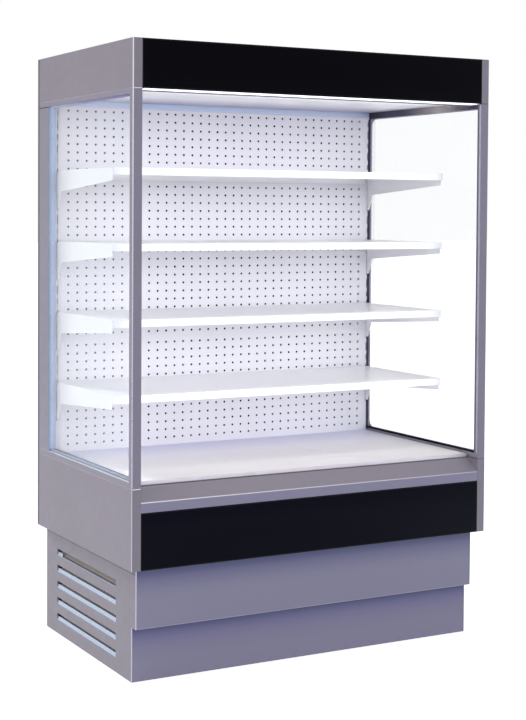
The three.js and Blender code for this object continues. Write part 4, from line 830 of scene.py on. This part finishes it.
def air_outlet():
    low, high = extent("air_outlet")
    m = Solids()
    honeycomb(m, low.x + 2, high.x - 2, low.y + 2, high.y - 2, low.z + 1, high.z - 1, 9.0, 0.7)
    m.piece("air_outlet_honeycomb", "plastic", smooth=None, replaces="air_outlet")
    m = Solids()
    for plan in border(low.x, high.x, low.y, high.y, 6, 2):
        m.box(*plan, low.z, high.z, 0.4)
    m.piece("air_outlet_rim", "plastic")


def canopy_clip():
    """A small hook under the canopy's right end."""
    m = Solids().box(535, 555, -339, -327, 1841, 1848, 1.5, 3)
    m.prism("x", [(-338, 1842), *arc(-334.5, 1840, 4, 180, 360, 8), (-331, 1842)], 538, 552)
    m.turned((560, -333, 1848), "z", ((0, 0), (3, 0), (3, -2), (1.5, -3), (0, -3)), 12)
    m.piece("canopy_clip", "clip")


lamp()
air_outlet()
canopy_clip()


# --- behind the perforated panels

# Near-black sheets behind the perforated panels: painted shade for the inside of the air channel.
def duct_shade_sheet():
    m = Solids().box(-602, 602, 340, 344.6, 590, 1850, 0.8)
    for m.sign in (-1, 1):
        m.box(600, 604, 306, 339.5, 590, 1850, 0.8)
    m.piece("duct_shade_sheet", "duct")


duct_shade_sheet()


# --- base

BASE_OUTER = 642.2
LOUVRE_BOTTOMS = [50 + 56.4 * row for row in range(5)]
LOUVRE_START, LOUVRE_END, LOUVRE_SLOPE = -206.0, 288.0, 0.56
LOW_LIP_END = LOUVRE_END - 42
LOUVRE_LIP = [(1.0, 0.4), (4.2, 12.9), (5.0, 12.9), (1.8, 0.4)]
LOW_LIP = [(1.0, 0.4), (1.5, 2.6), (2.3, 2.6), (1.8, 0.4)]
BLADE, HOOD = ([(u, u * LOUVRE_SLOPE + v) for u, v in section] for section in (
    ((8.7, 0), (8.7, 0.5), (17.4, 0.5), (17.4, 0)), ((17.6, -1.2), (17.6, 0), (30, 0), (30, -1.2))))


def louvres():
    """Turned-up lips painted pale blue as the lit part of each louvre, and inner blades and hoods, painted pale
    against their shade, that carry each louvre on behind the side sheet.
    """
    for side, sign in SIDES:
        for part, finish, section, past in (("lips", "lip", LOUVRE_LIP, -0.5), ("blades", "blade", BLADE, 2),
                                            ("hoods", "blade", HOOD, 2)):
            m = Solids(sign)
            for bottom in LOUVRE_BOTTOMS:
                runs = [(section, LOUVRE_START + 0.5, LOUVRE_END + past)]
                # The top louvre lies in the shadow of the end wall: a thin lit strip, with the full painted light
                # only at its rear end.
                if part == "lips" and bottom == LOUVRE_BOTTOMS[-1]:
                    runs = [(LOW_LIP, LOUVRE_START + 0.5, LOW_LIP_END), (section, LOW_LIP_END, LOUVRE_END + past)]
                for outline, start, end in runs:
                    m.prism("y", [(BASE_OUTER - u, bottom + v) for u, v in outline], start, end)
            m.piece(f"louvre_{part}_{side}", finish)
        m = Solids(sign)
        for bottom in LOUVRE_BOTTOMS:
            m.box(BASE_OUTER - 24, BASE_OUTER - 2, LOUVRE_END + 2.2, LOUVRE_END + 3.4, bottom - 2, bottom + 27)
        m.piece(f"louvre_ends_{side}", "dark_zinc", slot="kick_paint")


def base_trim():
    """Edge strips up the front corners of the base and along its step: a painted highlight on the left corners and
    the step, painted shade on the right corners.
    """
    angle = ((642.7, -0.5), (640.4, -0.5), (640.4, -0.1), (642.3, -0.1), (642.3, 2.5), (642.7, 2.5))
    for side, sign in SIDES:
        m = Solids(sign)
        for front, z0, z1 in ((-359, 177, 364.5), (-328, 4, 176)):
            m.prism("z", [(u, front + v) for u, v in angle], z0, z1)
        # Painted highlight on the left corners, painted shade on the right.
        m.piece(f"base_corner_trim_{side}", "edge_metal" if sign < 0 else "shadow_paint", slot="galvanised_steel")
    # A painted highlight along the step.
    Solids().box(-636.5, 636.5, -359.5, -358.9, 176.5, 178.6, 0.2).piece("kick_step_trim", "edge_paint")


def base_tray():
    """The sheet that closes the machine compartment from below, with its pressed beads."""
    m = Solids()
    x, y0, y1, low = 608.0, -270.0, 352.0, 29.2
    m.box(-x, x, y0, y1, low, low + 1.3, 0.4)
    for k in range(-4, 5):
        m.box(k * 125 - 8, k * 125 + 8, y0 + 60, y1 - 60, low - 2.2, low + 0.2, 1.4)
    m.piece("base_tray", "dark_zinc")


def thread(radius, low, high, pitch=1.75, depth=0.9):
    """Turned ridges for a threaded stem."""
    root = radius - depth
    profile = [(0, low), (root, low)]
    z = low + 0.4
    while z + pitch < high:
        profile += [(root, z), (radius, z + pitch * 0.45), (radius, z + pitch * 0.55), (root, z + pitch)]
        z += pitch
    return profile + [(root, high), (0, high)]


FOOT_PAD = ((0, 0.6), (13, 0.6), (14, 0), (20, 0), (21, 1), (21, 3.6), (20.2, 4.6), (12, 6.4), (10.4, 8), (0, 8))


def feet():
    for node in both_sides("foot_front", "foot_rear"):
        low, high = extent(node)
        x, y = (low.x + high.x) / 2, (low.y + high.y) / 2
        Solids().turned((x, y, 0), "z", FOOT_PAD, 40).piece(f"{node}_pad", "foot", node, replaces=node)
        m = Solids().turned((x, y, 0), "z", thread(6, 7.8, 44), 20).hexagon((x, y), 10, 18.9, 25.2)
        m.turned((x, y, 0), "z", ((0, 17.6), (10.4, 17.6), (10.4, 18.8), (0, 18.8)), 28)
        m.piece(f"{node}_stem", "trim", node)


# --- machine compartment

def compressor():
    x, y, z = -150.0, 75.0, 49.3
    corners = [(x + dx, y + dy) for dx, dy in product((-85.8, 85.8), (-64, 64))]
    can = [(0, 16), (52, 16), (68, 22), (76, 34), (78, 46), (78, 108), (79.4, 109), (79.4, 113), (78, 114),
           (78, 132), (76.6, 142), (72, 154), (63, 166), (50, 176), (34, 183.5), (16, 187.5), (0, 189)]
    m = Solids().turned((x, y, z), "z", can, 56)
    m.box(x - 97, x + 97, y - 77.5, y + 77.5, z + 8, z + 12, 1.5, 2)
    m.turned((x + 30, y - 40, z + 170), "z", ((0, 0), (6, 0), (6, 15), (0, 15)), 16)
    m.piece("compressor_can", "enamel", replaces="compressor")
    collar = [(0, 0), (10, 0), (10, 6), (7.5, 7.5), (7.5, 12.5), (9.8, 14), (9.8, 17.5), (0, 17.5)]
    m = Solids()
    for corner in corners:
        m.turned((*corner, z), "z", collar, 24)
    m.piece("compressor_grommets", "foot")
    m = Solids()
    for corner in corners:
        m.hexagon(corner, 6.5, z + 17.6, z + 22)
        m.turned((*corner, z), "z", thread(3.6, 21, 30, 1.2, 0.5), 14)
    m.piece("compressor_bolts", "trim")
    m = Solids().box(x - 108, x - 74, y - 26, y + 26, z + 70, z + 130, 5, 4)
    m.box(x - 107, x - 82, y - 18, y + 18, z + 129, z + 133, 1, 2)
    m.screw((x - 108, y, z + 100), "x", -1, 3.2, 0.01)
    m.piece("compressor_terminal_cover", "fan")


def refrigerant_lines():
    """Discharge, liquid and suction lines, with the drier and the insulated riser."""
    m = Solids()
    m.pipe([(-80, 51, 129.3), (-40, 51, 129.3), (-40, 51, 312), (-40, -236, 312), (-540, -236, 312),
            (-540, -236, 259.3), (-540, -168, 259.3)], 5, 24, 14)
    m.pipe([(-540, -168, 79.3), (-540, -236, 79.3), (-330, -236, 79.3)], 4, 22, 14)
    m.pipe([(-190, -236, 79.3), (70, -236, 79.3), (70, 290, 79.3), (70, 290, 372)], 4, 26, 14)
    m.pipe([(-86, 95, 169.3), (-28, 95, 169.3)], 7, 20, 16)
    m.pipe([(-150, 12, 150), (-150, -30, 150), (-150, -30, 215)], 4, 14, 12)
    m.piece("refrigerant_lines", "copper")
    m = Solids()
    drier = ((0, 0), (5, 0), (6, 8), (14, 18), (16, 24), (16, 110), (14, 116), (6, 128), (5, 140), (0, 140))
    m.turned((-330, -236, 79.3), "x", drier, 32)
    m.turned((-150, -30, 215), "z", ((0, 0), (6, 0), (6, 10), (4.5, 12), (4.5, 17), (0, 17)), 6)
    m.piece("filter_drier", "brass")
    riser = [(-30, 95, 169.3), (30, 95, 169.3), (30, 290, 169.3), (30, 290, 368)]
    Solids().pipe(riser, 15, 30, 20).piece("suction_insulation", "foam")


def condensate_set():
    """Drain pipe with its trap, and the pan in which the meltwater dries off."""
    m = Solids().pipe([(0, 55, 367), (0, 55, 236), (190, 55, 236), (190, 55, 150)], 14, 40, 24)
    m.turned((0, 55, 340), "z", ((0, 0), (20, 0), (21, 2), (21, 24), (0, 24)), 32)
    m.turned((190, 55, 146), "z", ((0, 0), (17, 0), (17, 22), (0, 22)), 32)
    m.piece("drain_pipe", "pvc")
    x0, x1, y0, y1, low, high, rim = 110, 400, -70, 190, 66, 140, 8
    m = Solids().box(x0, x1, y0, y1, low, low + 2, 0.6)
    for plan in ((x0, x1, y0, y0 + 2), (x0, x1, y1 - 2, y1), (x0, x0 + 2, y0, y1), (x1 - 2, x1, y0, y1)):
        m.box(*plan, low, high, 0.6)
    for plan in border(x0 - rim, x1 + rim, y0 - rim, y1 + rim, rim, rim):
        m.box(*plan, high - 2, high, 0.6)
    for x, y in product((130, 380), (-40, 160)):
        m.box(x - 12, x + 12, y - 12, y + 12, 47, low, 1)
    m.piece("condensate_pan", "zinc")


def control_box():
    """The switch box with its lid, glands and rigid conduit to the compressor."""
    m = Solids().box(440, 585, -20, 210, 60, 250, 2, 3)
    m.box(434, 441, -26, 216, 54, 256, 1.5, 2)
    m.box(470, 560, 10, 180, 46, 60, 1)
    m.piece("control_box", "base")
    m = Solids()
    for y, z in product((-14, 204), (66, 244)):
        m.screw((434, y, z), "x", -1, 4, 2)
    m.piece("control_box_screws", "trim")
    m = Solids()
    for y in (40, 95, 150):
        m.turned((480, y, 250), "z", ((0, 0), (12, 0), (12, 6), (9, 8), (9, 18), (7, 20), (0, 20)), 24)
    m.pipe([(480, 95, 262), (480, 95, 300), (-300, 95, 300), (-300, 75, 300), (-300, 75, 150), (-256, 75, 150)],
           6, 24, 14)
    m.pipe([(480, 150, 262), (480, 150, 318), (-372, 150, 318), (-372, 41, 318), (-372, 41, 176),
            (-398, 41, 176)], 5, 24, 14)
    m.piece("wiring_conduit", "pvc_dark")


def fine_coil(node, axis, along, across, floor, length, depth, height, fins, columns, rows=4):
    """Closely spaced fins between two end plates, with copper tubes and their return bends."""
    def box(a0, a1, c0, c1, z0, z1, bevel=0.0):
        plan = (a0, a1, c0, c1) if axis == "x" else (c0, c1, a0, a1)
        m.box(*plan, z0, z1, bevel, 1)

    def point(a, c, z):
        return (a, c, z) if axis == "x" else (c, a, z)

    start, end = along - length / 2, along + length / 2
    faces = across - depth / 2, across + depth / 2
    pitch, row_pitch = (length - 6) / (fins - 1), height / rows
    m = Solids()
    for k in range(fins):
        a = start + 3 + k * pitch
        box(a - 0.15, a + 0.15, faces[0] + 1, faces[1] - 1, floor + 2, floor + height - 2)
    m.piece(f"{node}_fins", "fins", smooth=None, replaces=node)
    m = Solids()
    for a in (start, end - 2):
        box(a, a + 2, *faces, floor, floor + height, 0.4)
    for z in (floor, floor + height - 1.4):
        box(start, end, *faces, z, z + 1.4, 0.4)
    m.piece(f"{node}_end_plates", "zinc")
    m = Solids()
    reach = min(row_pitch / 2 + 5, 30)
    for column, row in product(range(columns), range(rows - 1)):
        c = across + ((column + 0.5) / columns - 0.5) * depth
        a, out = (end - 3, reach) if (row + column) % 2 == 0 else (start + 3, -reach)
        low, high = floor + (row + 0.5) * row_pitch, floor + (row + 1.5) * row_pitch
        m.pipe([point(a, c, low), point(a + out, c, low), point(a + out, c, high), point(a, c, high)],
               5, row_pitch / 2, 12)
    for z in (floor + row_pitch / 2, floor + height - row_pitch / 2):
        m.pipe([point(start + 2, across, z), point(start - 39, across, z)], 5.6, 5, 12)
    m.piece(f"{node}_tubes", "copper", slot="fin_aluminium")


def tub_fittings():
    """Lines inside the tub, the drain strainer and the expansion valve beside the evaporator."""
    m = Solids()
    m.pipe([(-598, 50, 428.8), (-618, 50, 428.8), (-618, 285, 428.8), (70, 285, 428.8), (70, 290, 400)], 4, 12, 12)
    m.pipe([(-598, 50, 541.2), (-612, 50, 541.2), (-612, 250, 541.2), (-612, 285, 480), (30, 285, 480),
            (30, 290, 400)], 7, 12, 14)
    m.piece("tub_lines", "copper")
    m = Solids()
    m.turned((-618, 150, 428.8), "y", ((0, 0), (9, 0), (9, 8), (7, 8), (7, 30), (9, 30), (9, 38), (0, 38)), 6)
    m.turned((-618, 169, 430), "z", ((0, 0), (10, 0), (10, 16), (13, 18), (13, 30), (6, 33), (0, 33)), 24)
    m.piece("expansion_valve", "brass")
    strainer = ((0, 0), (24, 0), (25, 1.5), (22, 3), (18, 3.4), (16, 2.2), (0, 2.2))
    Solids().turned((0, 55, 405), "z", strainer, 36).piece("drain_strainer", "aluminium")


louvres()
base_trim()
base_tray()
feet()
compressor()
refrigerant_lines()
condensate_set()
control_box()
fine_coil("condenser_coil", "y", 41.0, -540.0, 49.3, 340.0, 66.0, 240.0, 112, 2)
fine_coil("evaporator_coil", "x", 0.0, 50.0, 410.0, 1120.0, 230.0, 150.0, 220, 4)
tub_fittings()


# --- back and top

RIVET = ((0, 0), (3.4, 0), (3, 0.7), (1.6, 1.2), (0, 1.3))
SEAMS_X = (-214, 214)


def rear_details():
    """Joint covers, rivets and screws on the back, and the vent cover's frame."""
    m = Solids()
    for x in SEAMS_X:
        m.box(x - 14, x + 14, 392.1, 393.4, 372, 1946, 0.5)
    m.box(-640, 640, 392.1, 393.2, 1152, 1180, 0.5)
    for x0, x1, z0, z1 in border(-642.6, 642.6, 368.6, 1949.4, 14.6, 15.4):
        m.box(x0, x1, 392.1, 393.6, z0, z1, 0.5)
    m.piece("rear_joint_covers", "rail", slot="galvanised_steel")
    m = Solids()
    for x, k in product(SEAMS_X, range(16)):
        m.turned((x, 393.3, 420 + k * 98), "y", RIVET, 12)
    for x, z in product(range(-600, 601, 100), (376, 1166, 1942)):
        m.turned((x, 393.2, z), "y", RIVET, 12)
    m.piece("rear_rivets", "aluminium")
    m = Solids()
    for x, z in product(range(-610, 611, 305), (20, 350)):
        m.screw((x, 387, z), "y", 1, 4.5, 2)
    m.piece("rear_cover_screws", "trim")


def roof_cover():
    """The roof's foam body under a sheet cover with standing seams and a folded rim."""
    front, nose, rear, low, under, top = -387.0, -361.0, 392.0, 1858.3, 1950.0, 1998.2
    m = Solids()
    m.prism("x", [(front, low), (nose, low), (nose, under), (rear, under), (rear, top - 0.4), (front, top - 0.4)],
            -643.2, 643.2)
    m.piece("roof_body", "side", slot="canopy_paint", replaces="canopy_roof")
    m = Solids().box(-643, 643, front + 0.2, rear - 0.2, top - 0.4, top + 0.5, 0.3)
    for x in SEAMS_X:
        m.box(x - 5, x + 5, front + 14, rear - 14, top + 0.4, top + 1.8, 0.5)
    for plan in border(-643, 643, front + 0.2, rear - 0.2, 12, 11.8):
        m.box(*plan, top + 0.4, top + 1.2, 0.3)
    m.piece("roof_cover", "zinc")
    m = Solids()
    for x, y in product(range(-600, 601, 150), (front + 6, rear - 6)):
        m.screw((x, y, top + 1.1), "z", 1, 3.5, 0.65)
    m.piece("roof_screws", "trim")


HAT = ((-30, 0), (-30, -1.2), (-16, -1.2), (-12, -13), (12, -13), (16, -1.2), (30, -1.2), (30, 0))
FLANGE = ((0, -1), (0, -29), (-9, -29), (-9, -27.8), (-1.2, -27.8), (-1.2, -1))


def shelf_stiffeners():
    """Folded channels and a rear flange under each shelf, and the end caps of its label rail."""
    for k in SHELVES:
        low, high = extent(f"shelf_{k}_plate")
        top = high.z - 1.7
        m = Solids()
        for y, section in ((-60, HAT), (130, HAT), (high.y - 4, FLANGE)):
            m.prism("x", [(y + u, top + v) for u, v in section], low.x + 22, high.x - 22)
        m.piece(f"shelf_{k}_stiffeners", "shelf", f"shelf_{k}")
        low, high = extent(f"shelf_{k}_price_rail")
        m = Solids()
        cap = [(low.y + 0.1, high.z - 1.1), (low.y + 1.1, high.z - 0.1), (high.y - 0.2, high.z - 0.1),
               (high.y - 0.2, low.z + 11), (low.y + 6, low.z + 0.1), (low.y + 1.1, low.z + 0.1),
               (low.y + 0.1, low.z + 1.1)]
        for a, b in ((low.x - 0.2, low.x + 0.9), (high.x - 0.9, high.x + 0.2)):
            m.prism("x", cap, a, b)
        m.piece(f"shelf_{k}_rail_caps", "rail", f"shelf_{k}")


def ceiling_seal():
    """The pale blue seal strip at the ceiling's rear drop, over a pinkish edge profile."""
    for name, z0, z1, finish in (
            ("ceiling_seal", 1835.5, 1855, "pale_seal"), ("panel_top_profile", 1830.4, 1835.4, "blush")):
        Solids().box(-640, 640, 290.8, 291.9, z0, z1, 0.4).piece(name, finish)


def outlet_edge():
    """The turned-down edge between the lamp and the air outlet."""
    edge = Solids().box(-636, 636, -340.8, -338.4, 1842.5, 1848.6, 0.5)
    edge.piece("outlet_edge", "shadow_paint", slot="canopy_paint")


def deck_lips():
    """The bright folded front edge of each deck panel, turned back over its top."""
    for name in ("left", "middle", "right"):
        low, high = extent(f"deck_{name}")
        m = Solids().box(low.x + 0.5, high.x - 0.5, low.y - 0.7, low.y - 0.1, low.z + 1, high.z + 0.6, 0.25)
        m.box(low.x + 0.5, high.x - 0.5, low.y - 0.1, low.y + 6, high.z + 0.05, high.z + 0.6, 0.2)
        m.piece(f"deck_lip_{name}", "deck_lip", f"deck_{name}")


rear_details()
roof_cover()
shelf_stiffeners()
ceiling_seal()
outlet_edge()
deck_lips()


# --- stage and light

def backdrop_white(tree, strength):
    """Light Path factor that is 1 for what the camera, gloss and glass see."""
    path = add_node(tree, "LightPath")
    total = path.outputs["Is Camera Ray"]
    for name in ("Is Glossy Ray", "Is Transmission Ray"):
        add = add_node(tree, "Math", total, path.outputs[name])
        add.use_clamp = True
        total = add.outputs[0]
    scale = add_node(tree, "Math", total, strength)
    scale.operation = "MULTIPLY"
    return scale.outputs[0]


def make_world(ambient):
    world = bpy.data.worlds.new("studio")
    bpy.context.scene.world = world
    world.use_nodes = True
    tree = world.node_tree
    tree.nodes.clear()
    light, seen = (add_node(tree, "Background", Color=(*colour, 1)) for colour in (ambient, (1, 1, 1)))
    mix = add_node(tree, "MixShader", backdrop_white(tree, 1.0), light.outputs[0], seen.outputs[0])
    add_node(tree, "OutputWorld", Surface=mix.outputs[0])


def make_floor():
    bm = bmesh.new()
    bmesh.ops.create_grid(bm, x_segments=4, y_segments=4, size=60)
    mesh = bpy.data.meshes.new("floor")
    bm.to_mesh(mesh)
    bm.free()
    material = bpy.data.materials.new("floor_white")
    material.use_nodes = True
    bsdf = material.node_tree.nodes["Principled BSDF"]
    for name, value in (("Base Color", (0.9, 0.9, 0.92, 1)), ("Roughness", 0.9), ("Specular IOR Level", 0.0),
                        ("Emission Color", (1, 1, 1, 1))):
        bsdf.inputs[name].default_value = value
    material.node_tree.links.new(backdrop_white(material.node_tree, 0.86), bsdf.inputs["Emission Strength"])
    mesh.materials.append(material)
    in_scene("floor", mesh)


def lamp_of(kind, name, aim, power, colour):
    """A lamp that shines along a direction and is seen in no gloss."""
    data = bpy.data.lights.new(name, kind)
    data.energy, data.color = power, colour
    light = in_scene(name, data)
    light.rotation_euler = Vector(aim).to_track_quat("-Z", "Y").to_euler()
    light.visible_glossy = False
    return light


def area_light(name, place, target, size, power, colour=(1, 1, 1), spread=180):
    light = lamp_of("AREA", name, Vector(target) - Vector(place), power, colour)
    light.location = place
    light.data.shape = "RECTANGLE"
    light.data.size, light.data.size_y = size
    light.data.spread = math.radians(spread)
    light.visible_transmission = light.visible_camera = False


make_world((0.18, 0.185, 0.21))
make_floor()
area_light("left_box", (-5.0, -0.6, 1.7), (0, 0, 1.0), (4.0, 3.4), 62, (1.0, 0.945, 0.90))
area_light("front_box", (1.2, -6.0, 2.7), (0, 0, 1.0), (5.0, 3.2), 70, (0.90, 0.94, 1.0))
area_light("top_box", (0, -0.5, 5.0), (0, 0, 1.0), (4.0, 4.0), 46)
area_light("bay_fill", (0, -0.385, 1.23), (0, 0.29, 1.13), (1.25, 1.12), 2.3, (0.98, 0.98, 1.0), 48)
area_light("lamp_strip", (0, -0.325, 1.838), (0, -0.10, 0.7), (1.2, 0.03), 0.5, (1.0, 0.99, 0.95), 90)
area_light("deck_glow", (0, -0.375, 0.68), (0, 0.16, 1.5), (1.15, 0.04), 0.85, (0.98, 0.98, 1.0), 110)
area_light("canopy_glow", (0, -0.262, 1.838), (0, -0.10, 1.866), (1.22, 0.03), 0.5)
area_light("right_fill", (2.6, -2.4, 1.2), (0.6, -0.4, 1.1), (1.2, 1.6), 4, (0.72, 0.78, 1.0))
lamp_of("SUN", "rim", (0.33, -1.2, -0.93), 1.2, (0.80, 0.90, 1.0)).data.angle = math.radians(4)

view = bpy.context.scene.view_settings
view.view_transform = "Standard"
